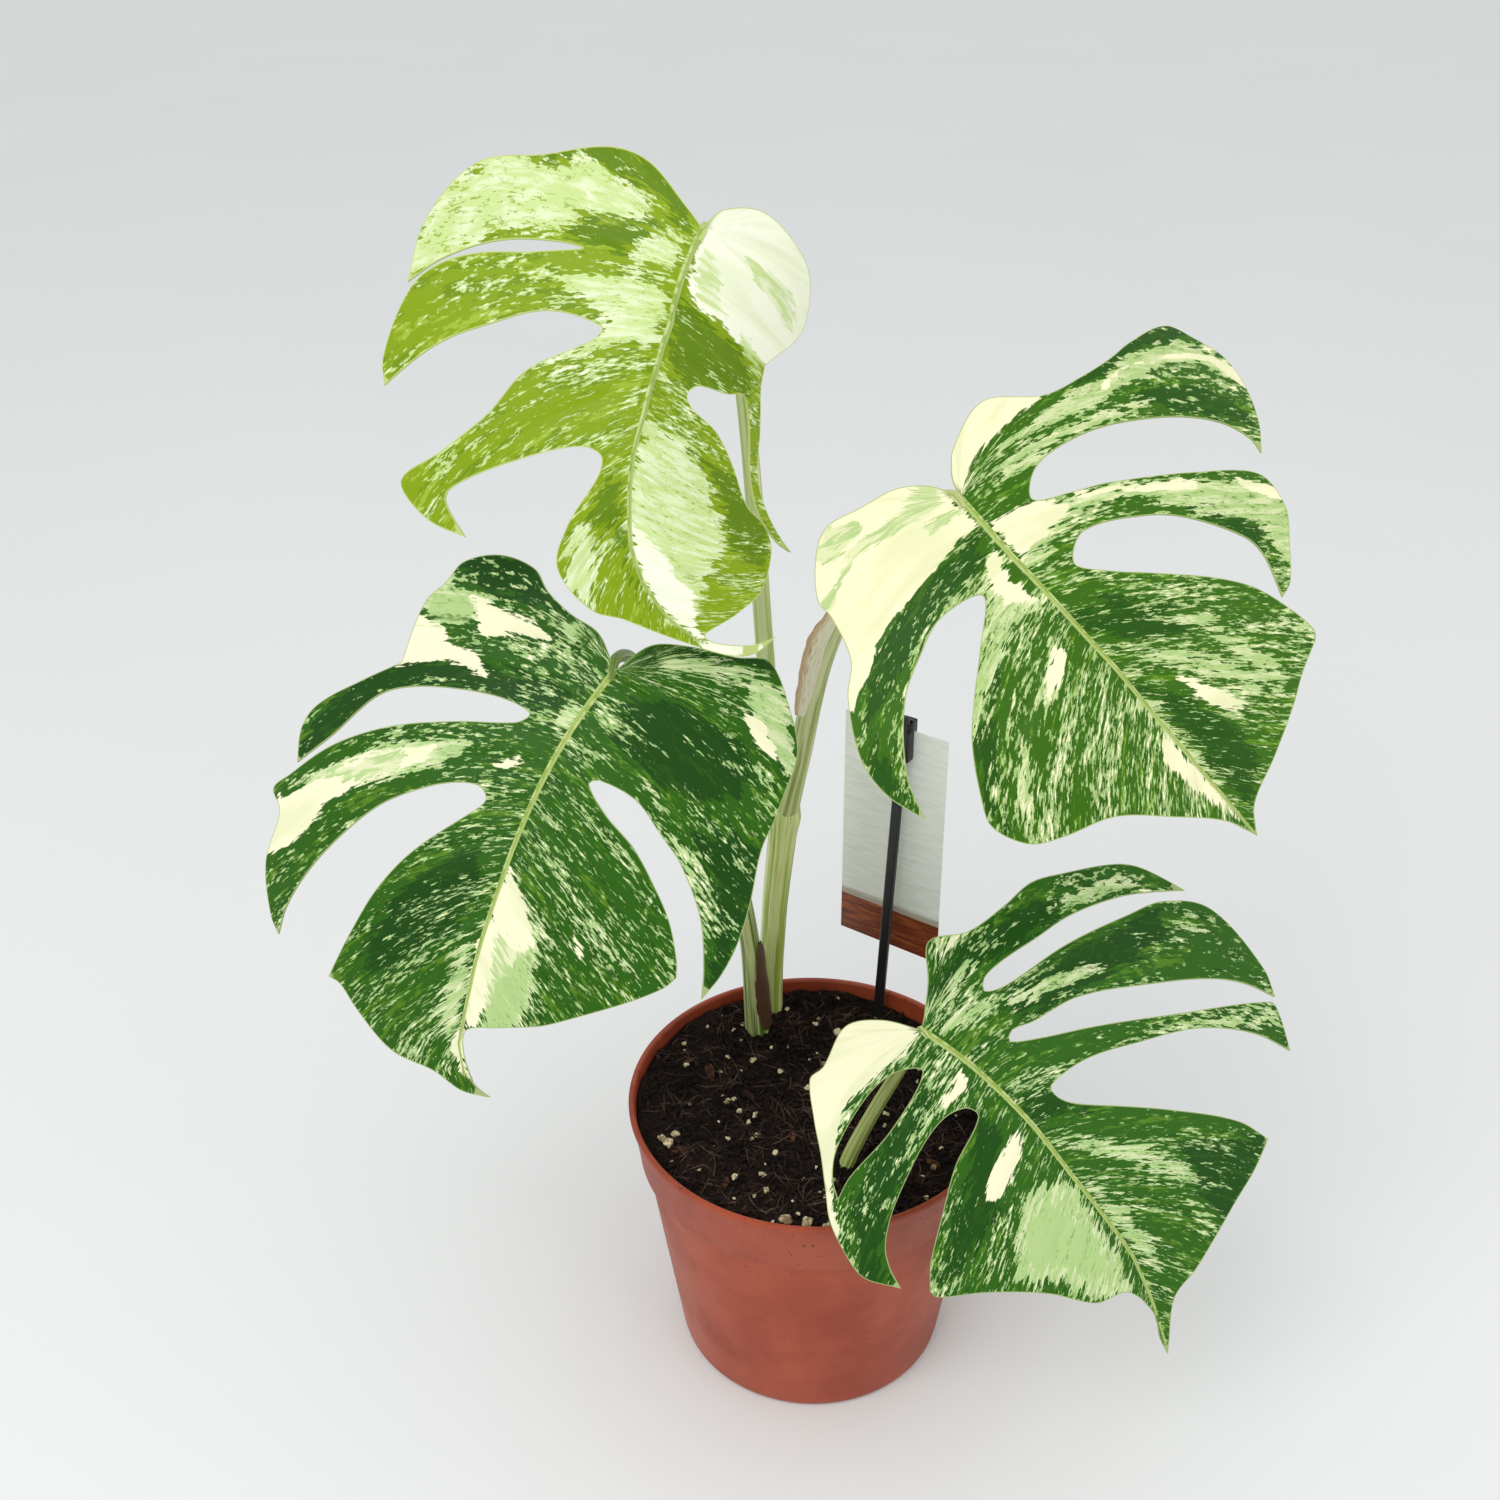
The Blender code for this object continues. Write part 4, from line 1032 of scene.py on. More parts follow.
def pot_material(colour_code):
    """Injection-moulded polypropylene, coloured terracotta: satin, a little dusty, with specks of soil."""
    made, tree, shader = new_material("moulded_polypropylene")
    place = add_node(tree, "ShaderNodeTexCoord").outputs["Object"]
    cloud = add_node(
        tree, "ShaderNodeTexNoise", {}, {"Vector": place, "Scale": 22.0, "Detail": 5.0, "Roughness": 0.6},
    ).outputs["Fac"]
    dust = add_node(
        tree, "ShaderNodeTexNoise", {}, {"Vector": place, "Scale": 900.0, "Detail": 2.0},
    ).outputs["Fac"]
    specks = add_node(
        tree, "ShaderNodeTexVoronoi", {}, {"Vector": place, "Scale": 210.0, "Randomness": 1.0},
    )
    near = add_node(
        tree, "ShaderNodeTexNoise", {}, {"Vector": place, "Scale": 38.0, "Detail": 2.0},
    ).outputs["Fac"]
    height = add_node(tree, "ShaderNodeSeparateXYZ", {}, {0: place}).outputs[2]
    upper = step_mask(tree, height, 0.085, 0.137)
    base = blend_colour(tree, step_mask(tree, cloud, 0.35, 0.68), linear(colour_code), linear("#8E3B25"))
    base = blend_colour(
        tree, math_node(tree, "MULTIPLY", step_mask(tree, dust, 0.55, 0.72), 0.22), base, linear("#B0644A"),
    )
    some = math_node(tree, "MULTIPLY_ADD", upper, 0.10, math_node(tree, "MULTIPLY", near, 0.5))
    speck = math_node(
        tree, "LESS_THAN", specks.outputs["Distance"], math_node(tree, "SUBTRACT", some, 0.235),
    )
    base = blend_colour(tree, math_node(tree, "MULTIPLY", speck, 0.75), base, linear("#4A2418"))
    tree.links.new(base, shader.inputs["Base Color"])
    rough = add_node(
        tree, "ShaderNodeMapRange", {},
        {"Value": cloud, "From Min": 0.3, "From Max": 0.7, "To Min": 0.36, "To Max": 0.52},
    )
    tree.links.new(rough.outputs[0], shader.inputs["Roughness"])
    shader.inputs["IOR"].default_value = 1.49
    shader.inputs["Specular IOR Level"].default_value = 0.3
    bump = add_node(tree, "ShaderNodeBump", {}, {"Strength": 0.18, "Distance": 0.0003, "Height": dust})
    tree.links.new(bump.outputs[0], shader.inputs["Normal"])
    return made


def soil_material(name, dark, pale, rough=0.95, grain=520.0):
    """Damp peat and coir: nearly black crumbs with warm brown fibres, quite matt."""
    made, tree, shader = new_material(name)
    place = add_node(tree, "ShaderNodeTexCoord").outputs["Object"]
    crumbs = add_node(
        tree, "ShaderNodeTexNoise", {}, {"Vector": place, "Scale": grain, "Detail": 6.0, "Roughness": 0.7},
    ).outputs["Fac"]
    patch = add_node(
        tree, "ShaderNodeTexNoise", {}, {"Vector": place, "Scale": 60.0, "Detail": 3.0},
    ).outputs["Fac"]
    amount = math_node(tree, "MULTIPLY_ADD", crumbs, 0.7, math_node(tree, "MULTIPLY", patch, 0.3))
    colour = blend_colour(tree, step_mask(tree, amount, 0.42, 0.62), linear(dark), linear(pale))
    tree.links.new(colour, shader.inputs["Base Color"])
    shader.inputs["Roughness"].default_value = rough
    shader.inputs["Specular IOR Level"].default_value = 0.2
    bump = add_node(tree, "ShaderNodeBump", {}, {"Strength": 0.9, "Distance": 0.0012, "Height": crumbs})
    tree.links.new(bump.outputs[0], shader.inputs["Normal"])
    return made


def stake_material():
    """Moulded black polypropylene with a faint sheen."""
    made, tree, shader = new_material("moulded_black_plastic")
    place = add_node(tree, "ShaderNodeTexCoord").outputs["Object"]
    grain = add_node(
        tree, "ShaderNodeTexNoise", {}, {"Vector": place, "Scale": 1400.0, "Detail": 2.0},
    ).outputs["Fac"]
    colour = blend_colour(tree, grain, linear("#141414"), linear("#232323"))
    tree.links.new(colour, shader.inputs["Base Color"])
    shader.inputs["Roughness"].default_value = 0.42
    bump = add_node(tree, "ShaderNodeBump", {}, {"Strength": 0.25, "Distance": 0.0002, "Height": grain})
    tree.links.new(bump.outputs[0], shader.inputs["Normal"])
    return made


def card_material():
    """Printed card: a pale limewashed ground, and a band of printed wood grain along its foot."""
    made, tree, shader = new_material("printed_card_stock")
    place = add_node(tree, "ShaderNodeAttribute", {"attribute_name": "card"}).outputs["Vector"]
    split = add_node(tree, "ShaderNodeSeparateXYZ", {}, {0: place})
    wash = add_node(
        tree, "ShaderNodeVectorMath", {"operation": "MULTIPLY"}, {0: place, 1: (0.06, 0.5, 1.0)},
    )
    wash = add_node(
        tree, "ShaderNodeTexNoise", {}, {"Vector": wash.outputs[0], "Scale": 1.0, "Detail": 5.0},
    ).outputs["Fac"]
    ground = blend_colour(tree, step_mask(tree, wash, 0.35, 0.7), linear("#FAFCF6"), linear("#ECF1E8"))
    grain = add_node(
        tree, "ShaderNodeVectorMath", {"operation": "MULTIPLY"}, {0: place, 1: (0.05, 0.55, 1.0)},
    )
    grain = add_node(
        tree, "ShaderNodeTexNoise", {},
        {"Vector": grain.outputs[0], "Scale": 1.0, "Detail": 6.0, "Roughness": 0.65, "Distortion": 1.4},
    ).outputs["Fac"]
    wood = blend_colour(tree, step_mask(tree, grain, 0.38, 0.62), linear("#6E2A10"), linear("#B25C2C"))
    dark_line = math_node(tree, "COMPARE", grain, 0.5, 0.018)
    wood = blend_colour(tree, math_node(tree, "MULTIPLY", dark_line, 0.6), wood, linear("#3E180B"))
    worn = math_node(tree, "MULTIPLY_ADD", math_node(tree, "SUBTRACT", wash, 0.5), 5.0, split.outputs[1])
    sand = step_mask(tree, worn, 23.0, 26.0)
    colour = blend_colour(tree, sand, linear("#BDB5A6"), ground)
    colour = blend_colour(tree, step_mask(tree, split.outputs[1], 20.8, 21.1), wood, colour)
    tree.links.new(colour, shader.inputs["Base Color"])
    shader.inputs["Roughness"].default_value = 0.5
    bump = add_node(tree, "ShaderNodeBump", {}, {"Strength": 0.1, "Distance": 0.0001, "Height": wash})
    tree.links.new(bump.outputs[0], shader.inputs["Normal"])
    return made


def mineral_material(name, main, shade):
    """Expanded perlite: a brittle white volcanic glass, matt and pitted, stained by the peat."""
    made, tree, shader = new_material(name)
    place = add_node(tree, "ShaderNodeTexCoord").outputs["Object"]
    pits = add_node(
        tree, "ShaderNodeTexNoise", {}, {"Vector": place, "Scale": 700.0, "Detail": 3.0},
    ).outputs["Fac"]
    stain = add_node(
        tree, "ShaderNodeTexNoise", {}, {"Vector": place, "Scale": 130.0, "Detail": 2.0},
    ).outputs["Fac"]
    colour = blend_colour(
        tree,
        step_mask(
            tree, math_node(tree, "MULTIPLY_ADD", pits, 0.4, math_node(tree, "MULTIPLY", stain, 0.6)), 0.45,
            0.60,
        ),
        linear(main), linear(shade),
    )
    tree.links.new(colour, shader.inputs["Base Color"])
    shader.inputs["Roughness"].default_value = 0.85
    bump = add_node(tree, "ShaderNodeBump", {}, {"Strength": 0.5, "Distance": 0.0004, "Height": pits})
    tree.links.new(bump.outputs[0], shader.inputs["Normal"])
    return made


# ---------------------------------------------------------------- settings


class LeafSettings(bpy.types.PropertyGroup):
    """Leaf blades."""

    spacing: FloatProperty(
        name="Mesh spacing", description="Distance between points of a blade, in mm", default=2.0, min=1.0,
        max=6.0,
    )
    thickness: FloatProperty(
        name="Blade thickness", description="Thickness of a blade, in mm", default=0.7, min=0.3, max=1.2,
    )


class PotSettings(bpy.types.PropertyGroup):
    """Pot and soil."""

    steps: IntProperty(name="Turns", description="Steps round the pot", default=144, min=24, max=360)
    drains: IntProperty(
        name="Drain holes", description="Holes in the pot's floor", default=8, min=0, max=16,
    )
    colour: StringProperty(
        name="Pot colour", description="Pot colour as an sRGB hex code", default="#A3492E",
    )
    soil_level: FloatProperty(
        name="Soil level", description="Height of the soil", default=0.130, min=0.1, max=0.136,
        unit="LENGTH",
    )
    perlite: IntProperty(
        name="Perlite grains", description="White grains on the soil", default=110, min=0, max=300,
    )
    fibres: IntProperty(name="Fibres", description="Coir fibres on the soil", default=750, min=0, max=1500)


class StageSettings(bpy.types.PropertyGroup):
    """Floor and light."""

    floor_colour: FloatVectorProperty(
        name="Floor colour", description="Colour of the floor", subtype="COLOR", size=3,
        default=(0.76, 0.78, 0.77), min=0.0, max=1.0,
    )
    light: FloatProperty(
        name="Light", description="Strength of the main lamp", default=16.0, min=0.0, max=500.0,
        subtype="POWER",
    )


# ---------------------------------------------------------------- pieces


class MONSTERA_OT_leaves(bpy.types.Operator):
    """Build the four variegated blades, each with its midrib's ridge underneath"""

    bl_idname = "monstera.leaves"
    bl_label = "Leaves"

    def execute(self, context):
        settings = context.scene.monstera_leaves
        for key, leaf in LEAVES.items():
            blade = build_blade(key, leaf, settings.spacing, settings.thickness)
            looks = [
                leaf_material("monstera_blade_" + key, leaf),
                leaf_material("monstera_underside_" + key, leaf, under=True), rim_material(),
            ]
            settle(blade, looks, "young_leaf" if key == "top" else "leaf", "leaf_" + key)
            rib_u = np.arange(0.5, leaf["midrib"][-1][0] - 14.0, 4.0)
            width = 1.55 - 1.2 * rib_u / leaf["length"]
            places = leaf_surface(leaf, rib_u, midrib_across(leaf, rib_u), -1.5 - 0.35 * width)
            line = [(Vector(place), max(size, 0.4)) for place, size in zip(places, width)]
            ridge = loft("leaf_keel_" + key, line, 12, lambda angle, run: 1.0)
            smooth(ridge, 60.0)
            settle(
                ridge, stem_material("keel_tissue_" + key, "#CFD79A", "#A9BC68", "#8DA452"),
                "young_leaf" if key == "top" else "leaf",
            )
        return {"FINISHED"}


class MONSTERA_OT_stems(bpy.types.Operator):
    """Build the main stem with its node ring, and the four leaf stems"""

    bl_idname = "monstera.stems"
    bl_label = "Stems"

    def execute(self, context):
        looks = {
            "main_stem": stem_material("waxy_stem_pale", "#DADF9C", "#A7BC4A", "#7F9A33"),
            "petiole_left": stem_material("waxy_stem_dark", "#C9D08F", "#5D7A2C", "#3F5B22"),
            "petiole_right": stem_material("waxy_stem_striped", "#D6D9A4", "#A3B162", "#77893D"),
            "petiole_top": stem_material("waxy_stem_young", "#D9E0A8", "#B4C66C", "#9CB14E"),
            "petiole_low": stem_material("waxy_stem_low", "#C3CC86", "#93A94C", "#6C8434"),
        }
        for name, stem in STEMS.items():
            line = smooth_path(stem["path"], stem["radii"], 2.5)
            ridged = loft(
                "stem_" + name, line, 40, lambda angle,
                run: 1.0 + 0.018 * math.sin(9 * angle + 0.4) + 0.014 * math.sin(17 * angle + run * 0.01),
            )
            smooth(ridged, 60.0)
            settle(ridged, looks[name], "stem", *stem["replaces"])
        return {"FINISHED"}


def build_scale(name, path, radii, span, reach, thickness):
    """A thin scale that hugs a stem, with an uneven free edge."""
    rows, columns = 44, 18
    verts, faces, marks = [], [], []
    for row in range(rows + 1):
        part = row / rows
        place = part * (len(path) - 1)
        index = min(int(place), len(path) - 2)
        centre = Vector(path[index]).lerp(Vector(path[index + 1]), place - index)
        radius = radii[index] + (radii[index + 1] - radii[index]) * (place - index)
        width = math.sin(math.pi * (0.12 + 0.86 * part)) ** 0.7
        width *= 1.0 + 0.05 * math.sin(part * 23.0) + 0.03 * math.sin(part * 51.0)
        for column in range(columns + 1):
            across = column / columns
            angle = math.radians(span[0] + (span[1] - span[0]) * (0.5 + (across - 0.5) * min(width, 1.0)))
            away = radius + 0.5 + reach * min(width, 1.0) * across**2 + 0.15 * math.sin(
                part * 19.0 + across * 5.0
            ) * across
            verts.append((centre + Vector((math.cos(angle), math.sin(angle), 0.0)) * away) * MM)
            marks.append((across, part * len(path) * 3.0, 0.0))
    wide = columns + 1
    for row in range(rows):
        for column in range(columns):
            first = row * wide + column
            faces.append((first, first + 1, first + wide + 1, first + wide))
    item = object_from(name, verts, faces)
    point_attribute(item.data, "scale", "FLOAT_VECTOR", marks)
    thicken = item.modifiers.new("thickness", "SOLIDIFY")
    thicken.thickness = thickness * MM
    thicken.offset = 1.0
    make_active(item)
    bpy.ops.object.modifier_apply(modifier=thicken.name)
    smooth(item, 50.0)
    return item


class MONSTERA_OT_sheaths(bpy.types.Operator):
    """Build the papery scales at the foot of the left leaf stem and along the right one"""

    bl_idname = "monstera.sheaths"
    bl_label = "Sheaths"

    def execute(self, context):
        left = build_scale(
            "sheath_left", [(-25.8, 53.8, 133.5), (-27, 52.4, 155), (-29.2, 49.8, 188)], [5.6, 5.2, 4.7],
            (-80, 50), 2.9, 0.5,
        )
        settle(
            left, scale_material("dry_brown_scale", "#5A3B26", "#33211A"), "dry_sheath",
            "left_petiole_sheath",
        )
        right = build_scale(
            "sheath_right", [(-0.9, 53, 309), (6, 40, 351), (17, 26.5, 383)], [4.7, 4.4, 4.0], (250, 180),
            4.9, 0.5,
        )
        settle(
            right, scale_material("pale_papery_scale", "#ECE6CB", "#C5A27A"), "pale_sheath",
            "right_petiole_sheath",
        )
        return {"FINISHED"}


class MONSTERA_OT_pot(bpy.types.Operator):
    """Turn the pot from its profile and drill its drain holes"""

    bl_idname = "monstera.pot"
    bl_label = "Pot"

    def execute(self, context):
        settings = context.scene.monstera_pot
        deselect_all()
        mesh = bpy.data.meshes.new("nursery_pot")
        points = [(radius * MM, 0.0, height * MM) for radius, height in POT_PROFILE]
        mesh.from_pydata(points, [(index, index + 1) for index in range(len(points) - 1)], [])
        pot = bpy.data.objects.new("nursery_pot", mesh)
        bpy.context.scene.collection.objects.link(pot)
        make_active(pot)
        bpy.ops.object.mode_set(mode="EDIT")
        bpy.ops.mesh.select_all(action="SELECT")
        bpy.ops.mesh.spin(steps=settings.steps, angle=2.0 * math.pi, center=(0, 0, 0), axis=(0, 0, 1))
        bpy.ops.mesh.select_all(action="SELECT")
        bpy.ops.mesh.remove_doubles(threshold=0.000002)
        bpy.ops.mesh.normals_make_consistent(inside=False)
        bpy.ops.object.mode_set(mode="OBJECT")
        for index in range(settings.drains):
            angle = 2.0 * math.pi * (index + 0.4) / settings.drains
            deselect_all()
            bpy.ops.mesh.primitive_cylinder_add(
                vertices=40, radius=5.0 * MM, depth=9.6 * MM, rotation=(0, 0, 0.1),
                location=(46.0 * MM * math.cos(angle), 46.0 * MM * math.sin(angle), 0.0),
            )
            drill = bpy.context.active_object
            make_active(pot)
            cut = pot.modifiers.new("drain", "BOOLEAN")
            cut.operation = "DIFFERENCE"
            cut.solver = "EXACT"
            cut.object = drill
            bpy.ops.object.modifier_apply(modifier=cut.name)
            bpy.data.objects.remove(drill, do_unlink=True)
        smooth(pot, 28.0)
        settle(pot, pot_material(settings.colour), "pot_plastic", "pot")
        return {"FINISHED"}


def soil_height(x, y, level):
    """Height of the soil's rough top, in mm, for a place in mm."""
    far = math.hypot(x, y)
    clods = noise.fractal(Vector((x / 9.0, y / 9.0, 4.0)), 0.9, 2.1, 4) * 1.5
    swell = math.sin(x / 17.0 + 0.6) * math.cos(y / 13.0 - 0.4)
    side = max(math.cos(math.atan2(y, x) - 2.5), 0.0)
    banked = (1.2 + 2.4 * side) * min(max((far - 50.0) / 28.0, 0.0), 1.0)
    dip = 4.0 * math.exp(-(((x - 62.0) / 26.0) ** 2 + ((y - 45.0) / 26.0) ** 2))
    return level + clods + swell - dip + banked - 0.6


def ball(detail):
    """A small round grain to copy: its points and faces."""
    shape = bmesh.new()
    bmesh.ops.create_icosphere(shape, subdivisions=detail, radius=1.0)
    shape.verts.index_update()
    points = [vert.co.copy() for vert in shape.verts]
    faces = [tuple(vert.index for vert in face.verts) for face in shape.faces]
    shape.free()
    return points, faces


def scatter(name, grain, spots, rough, look, slot):
    """Irregular copies of a grain as one piece. Each spot is (place, size, squash, seed) in mm."""
    verts, faces = [], []
    points, corners = grain
    for place, size, squash, seed in spots:
        turn = Matrix.Rotation(seed * 2.1, 3, "Z") @ Matrix.Rotation(math.sin(seed * 5.0) * 0.7, 3, "X")
        first = len(verts)
        shift = Vector((seed * 7.1, seed * 3.3, seed))
        for point in points:
            wobble = 1.0 + rough * noise.noise(point * 1.3 + shift)
            local = turn @ Vector(
                (point.x * squash[0], point.y * squash[1], point.z * squash[2])
            ) * wobble * size
            verts.append((place + local) * MM)
        faces += [tuple(first + corner for corner in face) for face in corners]
    item = object_from(name, verts, faces)
    smooth(item, 60.0)
    settle(item, look, slot)
    return item


def finish_bmesh(name, shape, look, slot):
    mesh = bpy.data.meshes.new(name)
    shape.to_mesh(mesh)
    shape.free()
    item = bpy.data.objects.new(name, mesh)
    bpy.context.scene.collection.objects.link(item)
    smooth(item, 60.0)
    settle(item, look, slot)
    return item


def soil_spot(chance, reach=79.0):
    angle = chance.uniform(0.0, 2.0 * math.pi)
    far = reach * math.sqrt(chance.random())
    return far * math.cos(angle), far * math.sin(angle)


class MONSTERA_OT_soil(bpy.types.Operator):
    """Build the soil's crumbly top, with coir fibres, bark chips and perlite grains"""

    bl_idname = "monstera.soil"
    bl_label = "Soil"

    def execute(self, context):
        settings = context.scene.monstera_pot
        level = settings.soil_level / MM
        sectors = 240
        top = 81.0
        rings = [(57.0, 2.9), (60.6, 6.4), (75.4, 106.0), (78.0, 112.0), (80.6, 126.0)]
        verts, faces = [], []
        for radius, height in rings:
            for sector in range(sectors):
                angle = 2.0 * math.pi * sector / sectors
                verts.append((radius * math.cos(angle) * MM, radius * math.sin(angle) * MM, height * MM))
        count = 58
        for ring in range(count, 0, -1):
            radius = top * ring / count
            for sector in range(sectors):
                angle = 2.0 * math.pi * (sector + 0.35 * math.sin(ring * 1.9)) / sectors
                x, y = radius * math.cos(angle), radius * math.sin(angle)
                verts.append((x * MM, y * MM, soil_height(x, y, level) * MM))
        total = len(rings) + count
        for ring in range(total - 1):
            for sector in range(sectors):
                after = (sector + 1) % sectors
                faces.append(
                    (
                        ring * sectors + sector, ring * sectors + after, (ring + 1) * sectors + after,
                        (ring + 1) * sectors + sector,
                    )
                )
        faces.append(tuple(reversed(range(sectors))))
        middle = len(verts)
        verts.append((0.0, 0.0, soil_height(0.0, 0.0, level) * MM))
        last = (total - 1) * sectors
        faces += [(last + sector, last + (sector + 1) % sectors, middle) for sector in range(sectors)]
        soil = object_from("soil_body", verts, faces)
        smooth(soil, 60.0)
        settle(soil, soil_material("damp_peat", "#0A0605", "#281A13"), "potting_soil", "soil")

        chance = random.Random(5)
        spots = []
        for index in range(2600):
            x, y = soil_spot(chance)
            size = chance.uniform(0.5, 1.55) ** 1.7
            spots.append(
                (
                    Vector((x, y, soil_height(x, y, level) + 0.3 * size)), size, (1.0, 0.75, 0.6),
                    index * 0.37,
                )
            )
        crumb_look = soil_material("peat_crumbs", "#0D0806", "#37241A", 0.95, 800.0)
        scatter("soil_crumbs", ball(1), spots, 0.9, crumb_look, "potting_soil")

        fibres = bmesh.new()
        for index in range(settings.fibres):
            x, y = soil_spot(chance, 77.0)
            heading = chance.uniform(0.0, 2.0 * math.pi)
            length = chance.uniform(6.0, 20.0)
            bend = chance.uniform(-1.6, 1.6)
            arch = chance.uniform(0.3, 1.6)
            thick = chance.uniform(0.15, 0.42)
            rings_made = []
            for part in range(7):
                t = part / 6
                x += math.cos(heading + bend * t) * length / 6
                y += math.sin(heading + bend * t) * length / 6
                far = math.hypot(x, y)
                if far > 79.5:
                    x, y = x * 79.5 / far, y * 79.5 / far
                z = soil_height(x, y, level) + 0.35 + arch * math.sin(math.pi * t)
                ring = []
                for side in range(3):
                    angle = 2.0 * math.pi * side / 3
                    beside = Vector((-math.sin(heading + bend * t), math.cos(heading + bend * t), 0.0))
                    ring.append(
                        fibres.verts.new(
                            (
                                Vector((x, y, z)) + (
                                    beside * math.cos(angle) + Vector((0, 0, 1)) * math.sin(angle)
                                ) * thick
                            ) * MM
                        )
                    )
                rings_made.append(ring)
            for low, high in zip(rings_made, rings_made[1:]):
                for side in range(3):
                    fibres.faces.new((low[side], low[(side + 1) % 3], high[(side + 1) % 3], high[side]))
            fibres.faces.new(list(reversed(rings_made[0])))
            fibres.faces.new(rings_made[-1])
        bmesh.ops.recalc_face_normals(fibres, faces=fibres.faces[:])
        finish_bmesh(
            "coir_fibres", fibres, soil_material("coir_fibre", "#1A120E", "#54423A", 0.85, 120.0),
            "potting_soil",
        )

        spots = []
        placed = [
            (-14, -73, 2.9), (-5, -74, 3.1), (4, -78, 2.6), (-66, -27, 2.4), (-69, -23, 2.0),
            (-63, -20, 1.9), (-18, -32, 1.6), (-24, -45, 1.7), (14, 52, 2.2), (18, 44, 2.0), (-2, 12, 1.6),
        ]
        for index in range(settings.perlite):
            if index < len(placed):
                x, y, size = placed[index]
            else:
                x, y = soil_spot(chance, 76.0)
                size = chance.uniform(0.6, 1.7)
            squash = (1.0, chance.uniform(0.65, 0.95), chance.uniform(0.55, 0.8))
            spots.append(
                (Vector((x, y, soil_height(x, y, level) + 0.55 * size)), size, squash, index * 0.61)
            )
        scatter(
            "perlite_grains", ball(3), spots, 0.55,
            mineral_material("expanded_perlite", "#DCCFA8", "#84704F"), "potting_soil",
        )

        chips = [
            (-60, -30, 4.5), (-48, 22, 5.0), (-58, 30, 3.6), (-30, 8, 3.2), (20, -60, 3.4),
            (40, 20, 3.8), (-10, -20, 3.0), (10, 30, 3.6), (52, -40, 3.4), (-40, -50, 3.0),
        ]
        spots = [
            (Vector((x, y, soil_height(x, y, level) + 0.8)), size, (1.0, 0.5, 0.2), index * 0.9)
            for index, (x, y, size) in enumerate(chips)
        ]
        scatter(
            "bark_chips", ball(3), spots, 0.5,
            soil_material("pine_bark", "#2E1B11", "#6E4529", 0.85, 260.0), "potting_soil",
        )
        return {"FINISHED"}


CARD_CORNER = Vector((17.0, 94.7, 163.0))
CARD_SIZE = (54.5, 0.5, 124.0)
CARD_TURN = math.radians(-35.0)
STAKE_FOOT = Vector((32.9, 62.9, 100.0))
STAKE_TOP = Vector((42.1, 71.8, 296.0))


def rounded_box(name, size, place, bevel, matrix):
    """A box with rounded edges, moved by a matrix. Sizes and place are mm."""
    deselect_all()
    bpy.ops.mesh.primitive_cube_add(size=1.0)
    item = bpy.context.active_object
    item.name = name
    item.data.transform(
        Matrix.Translation(Vector(place) * MM) @ Matrix.Diagonal((*(Vector(size) * MM), 1.0))
    )
    soften = item.modifiers.new("soften", "BEVEL")
    soften.width = bevel * MM
    soften.segments = 3
    make_active(item)
    bpy.ops.object.modifier_apply(modifier=soften.name)
    item.data.transform(matrix)
    return item


class MONSTERA_OT_label(bpy.types.Operator):
    """Build the blank care label, and the stake and clip that hold it"""

    bl_idname = "monstera.label"
    bl_label = "Label"

    def execute(self, context):
        card_place = Matrix.Translation(CARD_CORNER * MM) @ Matrix.Rotation(CARD_TURN, 4, "Z")
        width, depth, height = CARD_SIZE
        card = rounded_box("care_label", CARD_SIZE, (width / 2, 0.0, height / 2), 0.15, Matrix())
        point_attribute(
            card.data, "card", "FLOAT_VECTOR",
            [(vert.co.x / MM, vert.co.z / MM, 0.0) for vert in card.data.vertices],
        )
        card.data.transform(card_place)
        smooth(card)
        settle(card, card_material(), "label_board", "label_card")

        lean = (STAKE_TOP - STAKE_FOOT).normalized()
        across = Vector((math.cos(CARD_TURN), math.sin(CARD_TURN), 0.0))
        back = lean.cross(across)
        across = back.cross(lean)
        turn = Matrix((across, back, lean)).transposed().to_4x4()
        middle = Matrix.Translation((STAKE_FOOT + STAKE_TOP) * 0.5 * MM)
        rod = rounded_box(
            "label_stake_rod", (5.0, 3.0, (STAKE_TOP - STAKE_FOOT).length), (0, 0, 0), 1.1, middle @ turn,
        )
        local = card_place.inverted() @ (STAKE_TOP * MM) / MM
        front = (local.y - 1.3, -depth / 2 - 0.2)
        rear = (depth / 2 + 0.2, depth / 2 + 2.0)
        parts = [rod]
        for name, depths, heights in (
            ("clip_front", front, (height - 14.5, height + 5.5)),
            ("clip_back", rear, (height - 14.5, height + 5.5)),
            ("clip_roof", (front[0], rear[1]), (height + 0.2, height + 5.5)),
        ):
            size = (6.4, depths[1] - depths[0], heights[1] - heights[0])
            parts.append(
                rounded_box(name, size, (local.x - 0.1, sum(depths) / 2, sum(heights) / 2), 0.5, card_place)
            )
        deselect_all()
        for part in parts:
            part.select_set(True)
        bpy.context.view_layer.objects.active = rod
        bpy.ops.object.join()
        rod.name = "label_stake_and_clip"
        smooth(rod)
        settle(rod, stake_material(), "stake_plastic", "label_stake")
        return {"FINISHED"}


